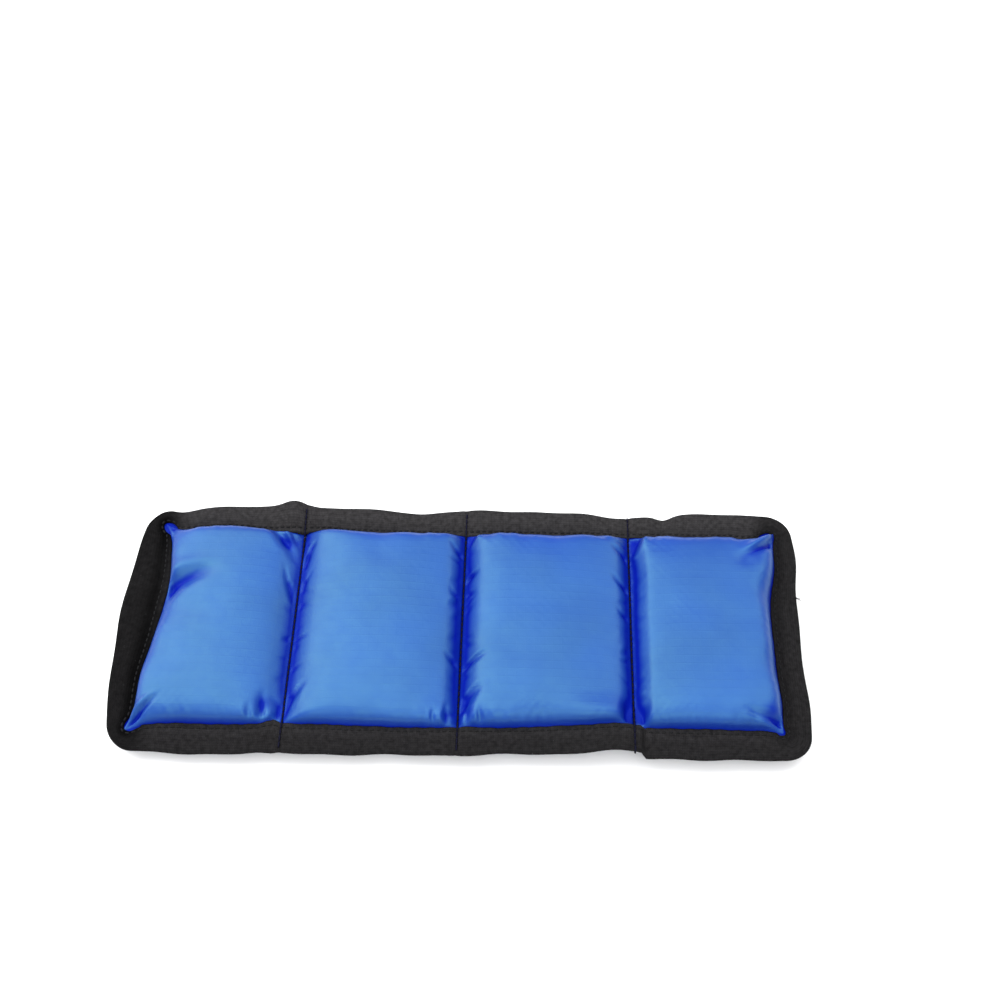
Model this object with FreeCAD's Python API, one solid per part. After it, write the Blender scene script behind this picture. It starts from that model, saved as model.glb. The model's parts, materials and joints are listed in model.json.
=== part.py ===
"""Ankle cuff weight: a flat cuff of four sewn pockets, each holding a bag of iron shot, that wraps
round an ankle and is closed by a hook-and-loop strap.

The cuff lies flat with its leg side up. X runs along the cuff, Y across it and Z up. The origin is
on the surface that it lies on, under the middle of the cuff. All sizes are in millimetres.
"""

import FreeCAD, Part
import os

from FreeCAD import Vector

# ---- driving dimensions -------------------------------------------------------------------
cuff_length = 330.0
cuff_width = 136.0
corner_radius = 13.0
panel_count = 4

fabric = 0.6  # one sheet of coated nylon
tape = 0.8  # the binding tape's thickness
tape_reach = 15.0  # how far the folded tape covers the cuff, in from its edge

pad_rise = 11.0  # the pocket's swell on the leg side, above the seam plane
pad_drop = 5.6  # its swell on the outer side, pressed flat by lying on it
pad_to_seam = 3.5  # from a pocket's stitch line to the start of the swell
pad_to_tape = 1.0  # from the tape's inner edge to the start of the swell
bag_clearance = 0.2
bag_wall = 0.4
shot_clearance = 0.1

strap_width = 50.0
strap_thick = 1.4
hook_thick = 0.8
loop_thick = 1.2
strap_gap = 0.8  # between the sewn strap and the tail folded back under it
fold_inset = 3.0  # how far inside the cuff's end the strap folds back
link_length = 14.0
tail_1_length = 112.5
tail_2_length = 103.0
tail_3_length = 80.0
anchor_length = 66.0

thread = 0.5  # a sewing thread's width
thread_proud = 0.3  # how far a row of stitches stands out of the cloth

# Room that lets the panels fold about a stitch line, and the strap bend about its own creases.
sheet_to_hinge = 1.2
tape_to_hinge = 2.4
thread_to_hinge = 3.0
strap_to_crease = 1.2

# ---- worked out from those ----------------------------------------------------------------
pitch = cuff_length / panel_count
end_x = cuff_length / 2
side_y = cuff_width / 2
seam_x = [pitch * (k + 1) - end_x for k in range(panel_count - 1)]

tail_low = hook_thick
tail_high = tail_low + strap_thick
anchor_low = tail_high + strap_gap
anchor_high = anchor_low + strap_thick
pad_low = anchor_high
seam_z = pad_low + pad_drop

fold_x = end_x - fold_inset
fold_z = (tail_high + anchor_low) / 2
crease_z = (tail_low + tail_high) / 2
crease_x = [
    fold_x - link_length,
    fold_x - link_length - tail_1_length,
    fold_x - link_length - tail_1_length - tail_2_length,
]
tail_end_x = crease_x[2] - tail_3_length

hook_patch_length = 55.0
hook_patch_width = 44.0
hook_patch_inset = 2.0
loop_patch_length = 62.0
loop_patch_width = 50.0
loop_patch_start = 14.0  # from the middle seam
patch_stitch_inset = 2.5
tape_stitch_inset = 2.0
anchor_stitch_length = 44.0

shoulder = 16.0  # the run of the swell's sides
crown = 1.5  # how much the swell's top is domed
crown_spread = 0.3  # more dome along the cuff's width, so that the two domes cross cleanly
underside_shoulder = 9.0


# ---- small helpers ------------------------------------------------------------------------
def box(x0, x1, y0, y1, z0, z1):
    """A block between two corners."""
    return Part.makeBox(x1 - x0, y1 - y0, z1 - z0, Vector(x0, y0, z0))


def outline(inset, z0, z1):
    """A slab with the cuff's rounded outline, its edge moved in by inset."""
    slab = box(inset - end_x, end_x - inset, inset - side_y, side_y - inset, z0, z1)
    radius = corner_radius - inset
    if radius <= 0:
        return slab
    upright = [e for e in slab.Edges if abs(e.tangentAt(e.FirstParameter).z) > 0.9]
    return slab.makeFillet(radius, upright)


def swell_edges(u0, u1, height, run, dome, place):
    """A closed outline in (u, height): sides that rise in an arc, then a gently domed top."""
    rise = height - (dome if height > 0 else -dome)
    side = (0.35 * run, 0.62 * rise)
    left, right = (u0, 0), (u1, 0)
    left_top, right_top = (u0 + run, rise), (u1 - run, rise)
    left_side, right_side = (u0 + side[0], side[1]), (u1 - side[0], side[1])
    edges = [Part.Arc(place(*left), place(*left_side), place(*left_top)).toShape()]
    if dome:
        top = ((u0 + u1) / 2, height)
        edges.append(Part.Arc(place(*left_top), place(*top), place(*right_top)).toShape())
    else:
        edges.append(Part.makeLine(place(*left_top), place(*right_top)))
    edges.append(Part.Arc(place(*right_top), place(*right_side), place(*right)).toShape())
    edges.append(Part.makeLine(place(*right), place(*left)))
    return edges


def swell(x0, x1, half_y, height, run, dome):
    """Half a filled pocket, from the seam plane up to height, or down to it if it is negative:
    what two prisms share, one along the cuff and one across it."""

    def across(u, h):
        return Vector(u, -half_y, seam_z + h)

    def along(u, h):
        return Vector(x0, u, seam_z + h)

    more = crown_spread if dome else 0
    face_x = Part.Face(Part.Wire(swell_edges(x0, x1, height, run, dome, across)))
    face_y = Part.Face(Part.Wire(swell_edges(-half_y, half_y, height + more, run, dome + more, along)))
    prism_x = face_x.extrude(Vector(0, 2 * half_y, 0))
    prism_y = face_y.extrude(Vector(x1 - x0, 0, 0))
    return prism_x.common(prism_y)


def pocket_span(panel):
    """Where a panel's swell starts and ends along X."""
    low = -end_x + (panel - 1) * pitch
    high = low + pitch
    end_room = tape_reach + pad_to_tape
    return (
        low + (end_room if panel == 1 else pad_to_seam),
        high - (end_room if panel == panel_count else pad_to_seam),
    )


def upper_swell(panel, inset):
    """The leg side of a pocket, shrunk by inset."""
    x0, x1 = pocket_span(panel)
    half_y = side_y - tape_reach - pad_to_tape
    return swell(x0 + inset, x1 - inset, half_y - inset, pad_rise - inset, shoulder, crown)


def lower_swell(panel, inset):
    """The outer side of a pocket, shrunk by inset."""
    x0, x1 = pocket_span(panel)
    half_y = side_y - tape_reach - pad_to_tape
    return swell(
        x0 + inset, x1 - inset, half_y - inset, inset - pad_drop, underside_shoulder, 0
    )


def panel_part(shape, panel, room):
    """What a panel keeps of a shape that runs the whole cuff, stopping short of its stitch lines."""
    low = -end_x + (panel - 1) * pitch
    high = low + pitch
    x0 = low - 1 if panel == 1 else low + room
    x1 = high + 1 if panel == panel_count else high - room
    return shape.common(box(x0, x1, -cuff_width, cuff_width, -50, 50))


def strap_piece(x_high, x_low, z0, z1, room_high, room_low):
    """A flat stretch of strap between two creases."""
    half = strap_width / 2
    return box(x_low + room_low, x_high - room_high, -half, half, z0, z1)


def thread_frame(x0, x1, y_half, z0, z1):
    """A rectangle of stitching, seen from above."""
    outer = box(x0, x1, -y_half, y_half, z0, z1)
    inner = box(x0 + thread, x1 - thread, thread - y_half, y_half - thread, z0 - 1, z1 + 1)
    return outer.cut(inner)


def thread_cross(x0, x1, y_half, z0, z1):
    """A box with a cross in it, as a strap's end is sewn down."""
    inside = box(x0, x1, -y_half, y_half, z0, z1)
    shape = thread_frame(x0, x1, y_half, z0, z1)
    for sign in (-1, 1):
        start = Vector(x0, -sign * y_half, z0)
        end = Vector(x1, sign * y_half, z0)
        along = end.sub(start).normalize()
        side = Vector(-along.y, along.x, 0).multiply(thread / 2)
        corners = [start.add(side), end.add(side), end.sub(side), start.sub(side)]
        face = Part.Face(Part.makePolygon(corners + corners[:1]))
        shape = shape.fuse(face.extrude(Vector(0, 0, z1 - z0)).common(inside))
    return shape.removeSplitter()


# ---- the pieces ---------------------------------------------------------------------------
def covers_and_filling(panel):
    """The two nylon sheets over one pocket, the bag in it and the iron shot in the bag."""
    top_sheet = panel_part(outline(tape, seam_z, seam_z + fabric), panel, sheet_to_hinge)
    low_sheet = panel_part(outline(tape, seam_z - fabric, seam_z), panel, sheet_to_hinge)
    bag_inset = fabric + bag_clearance
    shot_inset = bag_inset + bag_wall + shot_clearance

    def hollow(half, inset, wall):
        return half(panel, inset).cut(half(panel, inset + wall))

    bag = hollow(upper_swell, bag_inset, bag_wall).fuse(hollow(lower_swell, bag_inset, bag_wall))
    return {
        f"leg_cover_{panel}": top_sheet.fuse(upper_swell(panel, 0)).cut(upper_swell(panel, fabric)),
        f"outer_cover_{panel}": low_sheet.fuse(lower_swell(panel, 0)).cut(lower_swell(panel, fabric)),
        f"shot_bag_{panel}": bag,
        f"iron_shot_{panel}": upper_swell(panel, shot_inset).fuse(lower_swell(panel, shot_inset)),
    }


def binding():
    """The black tape folded over the cuff's edge: one C-shaped run at each end, and a far and a
    near strip on each middle panel."""
    reach = fabric + tape
    whole = outline(0, seam_z - reach, seam_z + reach)
    whole = whole.cut(outline(tape, seam_z - fabric, seam_z + fabric))
    whole = whole.cut(outline(tape_reach, seam_z - reach - 1, seam_z + reach + 1))
    made = {}
    for panel in range(1, panel_count + 1):
        run = panel_part(whole, panel, tape_to_hinge)
        if panel in (1, panel_count):
            made[f"binding_end_{panel}"] = run
        else:
            for name, solid in zip(("near", "far"), sorted(run.Solids, key=lambda s: s.CenterOfMass.y)):
                made[f"binding_{name}_{panel}"] = solid
    return made


def binding_threads():
    """The row of stitches along the tape's inner edge, on both sides of the cuff."""
    reach = fabric + tape
    inset = tape_reach - tape_stitch_inset
    rows = []
    for z0, z1 in ((reach, reach + thread_proud), (-reach - thread_proud, -reach)):
        row = outline(inset - thread, seam_z + z0, seam_z + z1)
        rows.append(row.cut(outline(inset, seam_z + z0 - 1, seam_z + z1 + 1)))
    both = Part.makeCompound(rows)
    return {
        f"binding_thread_{panel}": panel_part(both, panel, thread_to_hinge)
        for panel in range(1, panel_count + 1)
    }


def pocket_stitches():
    """The stitch line between two pockets, which is also the line that the cuff folds about."""
    length = cuff_width - 2 * tape
    return {
        f"pocket_stitch_{k + 1}": Part.makeCylinder(
            thread, length, Vector(x, -length / 2, seam_z), Vector(0, 1, 0)
        )
        for k, x in enumerate(seam_x)
    }


def strap():
    """The strap: sewn to the outer side of the last panel, folded back under the cuff at its end,
    and lying under it in one flat run that bends at three creases when it is wrapped."""
    room = strap_to_crease
    anchor_start = fold_x - anchor_length
    stitch_start = anchor_start + patch_stitch_inset
    hook_low = tail_end_x + hook_patch_inset
    hook_high = hook_low + hook_patch_length
    loop_low = seam_x[1] + loop_patch_start
    loop_high = loop_low + loop_patch_length
    inset = patch_stitch_inset
    hook_half = hook_patch_width / 2
    loop_half = loop_patch_width / 2
    loop_z = pad_low - loop_thick
    return {
        "strap_anchor": strap_piece(fold_x, anchor_start, anchor_low, anchor_high, room, 0),
        "anchor_stitch": thread_cross(
            stitch_start,
            stitch_start + anchor_stitch_length,
            strap_width / 2 - inset,
            anchor_low - thread_proud,
            anchor_low,
        ),
        "strap_link": strap_piece(fold_x, crease_x[0], tail_low, tail_high, 1.5, room),
        "strap_tail_1": strap_piece(crease_x[0], crease_x[1], tail_low, tail_high, room, room),
        "strap_tail_2": strap_piece(crease_x[1], crease_x[2], tail_low, tail_high, room, room),
        "strap_tail_3": strap_piece(crease_x[2], tail_end_x, tail_low, tail_high, room, 0),
        "hook_patch": box(hook_low, hook_high, -hook_half, hook_half, 0, tail_low),
        "hook_stitch": thread_frame(
            hook_low + inset,
            hook_high - inset,
            hook_half - inset,
            tail_high,
            tail_high + thread_proud,
        ),
        "loop_patch": box(loop_low, loop_high, -loop_half, loop_half, loop_z, pad_low),
        "loop_stitch": thread_frame(
            loop_low + inset,
            loop_high - inset,
            loop_half - inset,
            loop_z - thread_proud,
            loop_z,
        ),
    }


def main():
    nodes = {}
    for panel in range(1, panel_count + 1):
        nodes.update(covers_and_filling(panel))
    nodes.update(binding())
    nodes.update(binding_threads())
    nodes.update(pocket_stitches())
    nodes.update(strap())
    os.makedirs("parts", exist_ok=True)
    for name, shape in nodes.items():
        shape.exportStep(f"parts/{name}.step")
        print(name, len(shape.Solids), "solids,", round(shape.Volume, 1), "mm3", shape.isValid())
    return nodes


if __name__ == "__main__":
    main()
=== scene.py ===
"""Ankle cuff weight: the cloth, tape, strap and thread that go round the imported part.

The cuff lies open, leg side up, with its strap folded back under it. Lengths in this file are in
millimetres in the part's own frame, and put_mesh turns them into metres. X runs along the cuff, Y across it
and Z up.
"""

import json
import math

import bmesh
import bpy
import numpy as np
from mathutils import Matrix, Vector


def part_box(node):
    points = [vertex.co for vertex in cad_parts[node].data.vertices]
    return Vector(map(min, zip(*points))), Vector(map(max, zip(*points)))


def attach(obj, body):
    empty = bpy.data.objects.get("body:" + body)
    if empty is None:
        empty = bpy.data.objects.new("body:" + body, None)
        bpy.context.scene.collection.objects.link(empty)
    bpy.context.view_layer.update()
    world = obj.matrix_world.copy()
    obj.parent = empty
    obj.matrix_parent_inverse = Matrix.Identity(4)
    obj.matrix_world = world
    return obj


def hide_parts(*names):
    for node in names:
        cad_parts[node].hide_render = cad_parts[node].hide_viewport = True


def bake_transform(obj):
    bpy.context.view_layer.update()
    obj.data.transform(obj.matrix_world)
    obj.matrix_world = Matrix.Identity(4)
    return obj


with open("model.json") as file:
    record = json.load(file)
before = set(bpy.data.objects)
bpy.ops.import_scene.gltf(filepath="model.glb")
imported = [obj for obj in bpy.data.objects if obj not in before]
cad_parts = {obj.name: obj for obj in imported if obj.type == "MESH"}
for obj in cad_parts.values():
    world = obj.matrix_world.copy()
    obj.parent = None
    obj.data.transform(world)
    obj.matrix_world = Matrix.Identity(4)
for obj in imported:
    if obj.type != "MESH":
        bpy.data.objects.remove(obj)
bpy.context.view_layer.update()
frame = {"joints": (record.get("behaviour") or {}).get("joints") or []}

bl_info = {
    "name": "Ankle cuff weight",
    "version": (1, 0, 0),
    "blender": (4, 5, 0),
    "location": "View3D > Sidebar > Cuff",
    "description": "Builds the sewn cuff, its filling, its binding and its strap round the packed part",
    "category": "Object",
}

# ---- places taken from the frame ------------------------------------------------------------
HINGES = {j["name"]: np.array(j["pos_m"]) * 1000 for j in frame["joints"]}


def corners(node):
    """A CAD node's lowest and highest corner, in millimetres."""
    low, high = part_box(node)
    return np.array(low) * 1000, np.array(high) * 1000


END_X = corners("binding_end_4")[1][0]
SIDE_Y = corners("binding_end_4")[1][1]
SEAM_X = [HINGES[f"panel_fold_{k}"][0] for k in (1, 2, 3)]
SEAM_Z = HINGES["panel_fold_1"][2]
PAD_TOP = corners("leg_cover_2")[1][2]
PAD_LOW = corners("outer_cover_2")[0][2]
NEAR_TAPE = corners("binding_near_2")
TAPE_REACH = NEAR_TAPE[1][1] - NEAR_TAPE[0][1]
TAPE_HALF = (NEAR_TAPE[1][2] - NEAR_TAPE[0][2]) / 2
STRAP_HALF = corners("strap_tail_1")[1][1]
PANEL_ENDS = [-END_X, *SEAM_X, END_X]

# ---- the cuff's own shape, in millimetres -----------------------------------------------------
CORNER_RADIUS = 13.0
INNER_CORNER_RADIUS = 2.0
TAPE_THICK = 0.8
TAPE_STITCH_IN = 2.2  # from the tape's inner edge to its row of stitches
SHOULDER_SHARE = 0.78  # the part of the swell that a pocket's steep sides reach
PAD_HIDDEN = 3.2  # how far a pocket's cloth runs on under the tape
CORNER_COVER = 7.8  # how far a pocket's corner runs out from the centre of the cuff's rounded corner
PAD_CELL = 2.3  # the spacing of the cloth that is let go
FINER = 3  # how many cells of the finished cloth lie in one of them
PAD_DEPTH = 9.0  # how far a pocket would sag under the seams with nothing below it
SEAM_GAP = 0.08  # how far the pockets' borders stay from the folding axis
SEAM_KEEP = 0.1  # and how far the rest of their cloth stays from it
TUFT_Y = 18.0  # where a tuft of thread stands out from the right-hand edge
STITCH_PITCH = 3.1
TAPE_STITCH = 2.4  # the length of one stitch of the tape's rows
SEAM_STITCH = 3.35  # and of the pocket seams' rows
STRAP_STITCH = 2.5  # and of the strap's and the patches' rows
STRAP_THICK = 1.4
STRAP_COLUMNS = 27  # points across each face of the webbing
FLAT_COLUMNS = 12  # points across each flat of the folded tape
POCKET_PUFF = (9.0, 6.0)  # how far each pillow stands up and down before its cloth is let go
CLOTH_FRAMES = 24
CLOTH_REACH = 14.0  # how far a point of the cloth may move

# Places where the binding tape isn't straight and level: x, y, spread, outer edge outwards, inner edge
# inwards, outer edge up, inner edge up.
TAPE_FEATURES = (
    (-165, 68, 13, -2.4, -9.5, 0.0, 0.4),
    (-165, -68, 13, -1.4, -9.5, 0.0, 0.4),
    (165, 62, 13, 0.0, -6.5, 0.0, 0.4),
    (165, 36, 17, 0.0, -2.6, 0.0, 0.0),
    (146, 68, 10, 0.0, 1.6, 0.0, 0.0),
    (165, -68, 12, -0.6, -4.5, 0.0, 0.2),
    (-95, 68, 46, 1.3, 0.0, 1.4, 0.4),
    (-89, 68, 8, 1.8, 0.3, 4.2, 1.8),
    (-122, 68, 16, 0.4, -2.6, 0.0, 0.0),
    (-72, 68, 11, -0.6, -1.4, 0.0, 0.0),
    (-22, 68, 9, -0.9, 0.0, -0.8, 0.0),
    (12, 68, 26, 0.9, 0.0, 1.0, 0.2),
    (78, 68, 15, -1.0, -0.6, -1.2, 0.0),
    (101, 68, 5, -1.6, -1.2, -1.6, -0.4),
    (128, 68, 20, 0.9, 0.4, 0.6, 0.0),
    (-148, 68, 8, -1.6, 1.0, -1.0, 0.0),
    (-165, 4, 36, 4.6, 0.6, -1.0, 0.0),
    (-165, 24, 14, 0.0, 1.8, 0.0, 0.6),
    (-165, -34, 20, 0.8, -3.4, 0.0, 0.4),
    (-118, -68, 34, 0.6, -1.8, -1.6, -0.2),
    (-87, -68, 3.2, 0.4, 1.6, -0.6, 0.3),
    (-20, -68, 44, -0.2, -1.8, -0.6, 0.0),
    (30, -68, 22, -0.8, -0.4, 0.4, 0.2),
    (165, 0, 60, -0.6, -1.4, -1.2, 0.0),
    (165, 40, 14, 2.0, -1.6, 0.0, 0.4),
    (165, -40, 12, 0.8, -1.6, -0.6, 0.0),
)
# Painted light and shade on the tape, on its outer and its inner half: a higher value lifts that side towards
# a far lighter tone
TAPE_PAINTED_LIGHT = (
    {"near": 0.36, "far": 0.80, "left": 0.16, "right": 0.38},
    {"near": 0.50, "far": 0.66, "left": 0.0, "right": 0.24},
)
LAP_X = 85.6  # where the tape's two ends overlap on the near side
LAP_RUN = 1.6
LAP_FEATURE = (72, -68, 23, -2.6, 1.2, 3.8, 2.0)

# Folds in the leg side of the pockets: start, end, width, ridge on the left and valley on the right of the
# line, or the other way round where the width is below zero. They fade towards the end.
FOLDS = (
    ((-157, -59), (-139, -41), 1.9, 2.6, 3.2),
    ((-158, 14), (-119, 31), 5.4, 1.8, 4.8),
    ((-156, 61), (-149, 45), -1.9, 2.2, 2.2),
    ((-155, 59), (-134, 51), 2.0, 0.3, 2.8),
    ((-97, 56), (-83, 33), 3.0, 0.5, 3.4),
    ((-92, 55), (-86, 43), -1.4, 1.2, 1.6),
    ((-84, 16), (-90, 36), -1.6, 0.5, 1.2),
    ((-89, -57), (-91, -36), -2.6, 0.5, 2.6),
    ((-98, -56), (-99, -44), 1.8, 0.3, 1.4),
    ((-82, -51), (-70, -32), -2.4, 0.6, 1.8),
    ((-81, 36), (-75, 50), 1.5, 0.6, 1.6),
    ((-81, 20), (-76, 30), 1.3, 0.4, 1.0),
    ((-36, 57), (-14, 49), 1.6, 0.5, 1.2),
    ((-6, -57), (-6, -42), 1.5, 1.0, 2.2),
    ((-12, -57), (-12, -46), 1.3, 0.8, 1.8),
    ((-1, 40), (-8, 49), -1.4, 0.5, 1.4),
    ((-1, 14), (-7, 22), -1.4, 0.4, 1.1),
    ((-1, -22), (-8, -15), -1.4, 0.4, 1.2),
    ((7, 57), (1, 41), 1.8, 0.9, 2.6),
    ((1, 25), (8, 31), 1.4, 0.5, 1.7),
    ((1, 12), (7, 16), 1.2, 0.3, 1.0),
    ((1, -24), (15, -16), 1.7, 0.5, 1.8),
    ((1, -42), (12, -33), 2.8, 0.4, 2.3),
    ((4, -57), (4, -44), 1.3, 0.9, 2.0),
    ((11, -57), (9, -44), 1.4, 0.8, 2.0),
    ((60, 57), (77, 46), 1.8, 0.7, 1.4),
    ((82, 40), (73, 48), -1.5, 0.5, 1.8),
    ((82, 21), (73, 30), -1.5, 0.5, 1.8),
    ((82, 4), (75, 11), -1.3, 0.4, 1.2),
    ((80, -58), (77, -38), 2.8, 0.7, 3.4),
    ((86, -58), (91, -40), -2.6, 0.7, 3.4),
    ((91, 58), (84, 38), 2.2, 1.6, 3.4),
    ((161, 56), (136, 38), -2.7, 3.2, 4.4),
    ((158, 57), (130, 47), 2.0, 0.6, 2.4),
    ((160, -54), (130, -46), 2.6, 1.6, 4.4),
)
# How strong the gathers are on the left and the right of each stitch line
PUCKER_SHARES = ((0.35, 0.6), (0.6, 0.7), (0.8, 0.3))
# Shallow hollows in the leg side: x, y, spread, depth
DIMPLES = (
    (139, 36, 4.5, 0.9),
    (-144, 14, 5.0, 0.8),
    (-90, 47, 4.5, 2.6),
    (-90, -47, 6.5, 1.0),
    (81, -46, 5.0, 2.8),
)
# Painted shade where the cloth is tucked in so deep that no light reaches it: x, y, spread, amount
PAINTED_TUCK_SHADE = (
    (80, -44, 5.0, 1.0),
    (86, -47, 3.5, 0.8),
    (-89, 46, 3.6, 0.9),
    (-91, -45, 3.4, 0.7),
    (86, 47, 2.6, 0.7),
    (-148, 55, 3.0, 0.7),
    (145, 37, 4.5, 0.4),
    (146, -47, 3.4, 0.7),
    (-80, 50, 2.6, 0.5),
    (3, 51, 2.6, 0.6),
    (-5, -50, 2.4, 0.7),
    (5, -48, 2.6, 0.7),
    (-2, 50, 2.4, 0.4),
    (-83, -48, 3.0, 0.6),
    (-144, 17, 4.5, 0.4),
)
# How far in from its left, right, near and far border each pocket's top goes on rising
CROWN_WIDTHS = ((36, 36, 30, 36), (20, 55, 30, 36), (20, 55, 30, 36), (34, 9, 24, 36))
# The two sides that slope in one facet up to a crease: pocket, which gap, width
FACETS = ((1, 1, 7.5), (4, 0, 9.0))
# The height of the shelf on the left and the right of each stitch line, where the top's gentle rise begins
SHELVES = ((5.2, 5.2), (5.8, 7.6), (5.4, 8.0))


class CuffSizes(bpy.types.PropertyGroup):
    """Sizes that a user may change before building the cuff."""

    swell: bpy.props.FloatProperty(
        name="Pocket swell",
        description="How high a filled pocket stands above its stitch lines",
        default=(PAD_TOP - SEAM_Z) / 1000,
        min=0.004,
        max=0.02,
        unit="LENGTH",
    )
    spare_cloth: bpy.props.FloatProperty(
        name="Spare cloth",
        description="How much longer the pocket's cloth is than the frame that it is sewn to",
        default=0.045,
        min=0.0,
        max=0.2,
        subtype="FACTOR",
    )
    pucker: bpy.props.FloatProperty(
        name="Pucker",
        description="Height of the short gathers beside the stitch lines",
        default=0.0013,
        min=0.0,
        max=0.003,
        unit="LENGTH",
    )
    stitch_width: bpy.props.FloatProperty(
        name="Thread",
        description="Thickness of the sewing thread",
        default=0.0009,
        min=0.0002,
        max=0.002,
        unit="LENGTH",
    )


def colour_property(name, description, value):
    """A colour setting with its default in scene linear values."""
    return bpy.props.FloatVectorProperty(
        name=name, description=description, default=(*value, 1.0), size=4, min=0.0, max=1.0, subtype="COLOR"
    )


class CuffColours(bpy.types.PropertyGroup):
    """Colours that a user may change before building the cuff."""

    nylon: colour_property("Nylon", "Colour of the pockets' cloth", (0.003, 0.027, 0.262))
    # The nylon's colour where shade is painted into its folds, grooves and along the tape
    nylon_painted_shade: colour_property("Nylon in folds", "Colour of the cloth's deep folds", (0.001, 0.006, 0.22))
    tape: colour_property("Binding tape", "Colour of the tape round the edge", (0.0022, 0.0021, 0.0022))
    strap: colour_property("Strap", "Colour of the webbing strap", (0.014, 0.015, 0.017))
    pile: colour_property("Hook and loop", "Colour of the hook and the loop patch", (0.014, 0.014, 0.016))
    thread: colour_property("Black thread", "Colour of the tape's thread", (0.0085, 0.0085, 0.009))
    seam_thread: colour_property("Seam thread", "Colour of the pocket seams' thread", (0.004, 0.004, 0.012))
    liner: colour_property("Liner", "Colour of the inner bags", (0.45, 0.43, 0.38))
    shot: colour_property("Iron shot", "Colour of the filling", (0.13, 0.13, 0.135))


# The loose cloth's settings
CLOTH = {
    "use_pressure": True,
    "uniform_pressure_force": 4.0,
    "quality": 7,
    "mass": 0.2,
    "tension_stiffness": 60.0,
    "compression_stiffness": 60.0,
    "shear_stiffness": 8.0,
    "bending_stiffness": 2.5,
    "tension_damping": 12.0,
    "compression_damping": 12.0,
    "shear_damping": 12.0,
    "bending_damping": 1.0,
    "air_damping": 3.0,
}
# The soft lights: name, place and size in metres, power
LIGHTS = (
    ("soft_top", (-0.72, 0.56, 1.28), (1.5, 1.9), 40.0),
    ("soft_right", (0.72, 0.56, 1.28), (0.8, 1.9), 14.0),
    ("soft_left", (-1.4, 0.15, 0.75), (1.0, 1.0), 5.0),
    ("soft_front", (0.1, -0.95, 1.15), (1.5, 1.5), 20.0),
)
FLOOR_HALF = 4.0
FLOOR_COLOUR = (0.93, 0.93, 0.935, 1.0)
WORLD_COLOUR = (0.96, 0.98, 1.0, 1.0)
WORLD_STRENGTH = 0.5
CAMERA_TARGET = (0.0167, 0.0764, 0.010)
CAMERA_AWAY = 0.7236
CAMERA_ANGLES = (2.42, 55.0, -1.23)  # turn, rise and roll, in degrees


# ---- small helpers ----------------------------------------------------------------------------
def smooth(t):
    """0 below 0, 1 above 1 and 3t^2 - 2t^3 between."""
    t = np.clip(t, 0.0, 1.0)
    return t * t * (3 - 2 * t)


def quads(grid):
    """The four corners of every cell of a grid, in order round the cell."""
    around = [grid[:-1, :-1], grid[1:, :-1], grid[1:, 1:], grid[:-1, 1:]]
    return np.stack(around, axis=2).reshape(-1, 4, *grid.shape[2:])


def border_mask(shape):
    """True on the outermost points of a grid."""
    mask = np.ones(shape, bool)
    mask[1:-1, 1:-1] = False
    return mask


def end_mask(rows, columns):
    """True on the first and the last row of a grid, as one flat array."""
    mask = np.zeros((rows, columns), bool)
    mask[[0, -1]] = True
    return mask.ravel()


def add_values(piece, name, values):
    """Gives each point of a piece a value that its material reads."""
    layer = piece.data.attributes.new(name, "FLOAT", "POINT")
    layer.data.foreach_set("value", values.ravel().astype(np.float32))


def tile(count, faces, points_each):
    """The faces of count copies of a shape that has points_each points."""
    shift = np.arange(count)[:, None, None] * points_each
    return (faces[None] + shift).reshape(-1, faces.shape[1])


def put_mesh(name, points, faces, uvs, material, body=None):
    """Makes an object from points in millimetres, faces of equal size and a UV for each face corner."""
    mesh = bpy.data.meshes.new(name)
    points = np.asarray(points, np.float64) / 1000
    faces = np.asarray(faces, np.int64)
    size = faces.shape[1]
    mesh.vertices.add(len(points))
    mesh.vertices.foreach_set("co", points.ravel())
    mesh.loops.add(faces.size)
    mesh.loops.foreach_set("vertex_index", faces.ravel().astype(np.int32))
    mesh.polygons.add(len(faces))
    mesh.polygons.foreach_set("loop_start", (np.arange(len(faces)) * size).astype(np.int32))
    layer = mesh.uv_layers.new(name="cloth")
    layer.data.foreach_set("uv", np.asarray(uvs, np.float64).ravel())
    mesh.update(calc_edges=True)
    mesh.validate()
    mesh.polygons.foreach_set("use_smooth", np.ones(len(faces), bool))
    mesh.materials.append(material)
    made = bpy.data.objects.new(name, mesh)
    bpy.context.scene.collection.objects.link(made)
    if body:
        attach(made, body)
    return made


def sharpen(piece, flags):
    """Makes the edges whose two points are both flagged sharp, so that each side keeps its own shading."""
    mesh = piece.data
    pairs = np.empty(len(mesh.edges) * 2, np.int32)
    mesh.edges.foreach_get("vertices", pairs)
    sharp = flags[pairs.reshape(-1, 2)].all(1)
    mesh.attributes.new("sharp_edge", "BOOLEAN", "EDGE").data.foreach_set("value", sharp)


def settings():
    """The sizes and the colours that the scene holds."""
    return bpy.context.scene.cuff_sizes, bpy.context.scene.cuff_colours


def bend_over(piece):
    """Bakes a piece's placement into its points; it is not blended across the joint and rides on no body."""
    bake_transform(piece)


# ---- material building blocks -------------------------------------------------------------------
def node(tree, kind, inputs=None, **values):
    """Adds a shader node, sets its properties, and links or sets the inputs given by name or index."""
    made = tree.nodes.new(kind)
    for key, value in values.items():
        setattr(made, key, value)
    for key, value in (inputs or {}).items():
        socket = made.inputs[key]
        if isinstance(value, bpy.types.NodeSocket):
            tree.links.new(value, socket)
        else:
            socket.default_value = value
    return made


def math_node(tree, operation, first, second=0.5, third=0.5):
    """The result of a Math node."""
    return node(tree, "ShaderNodeMath", {0: first, 1: second, 2: third}, operation=operation).outputs[0]


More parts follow.
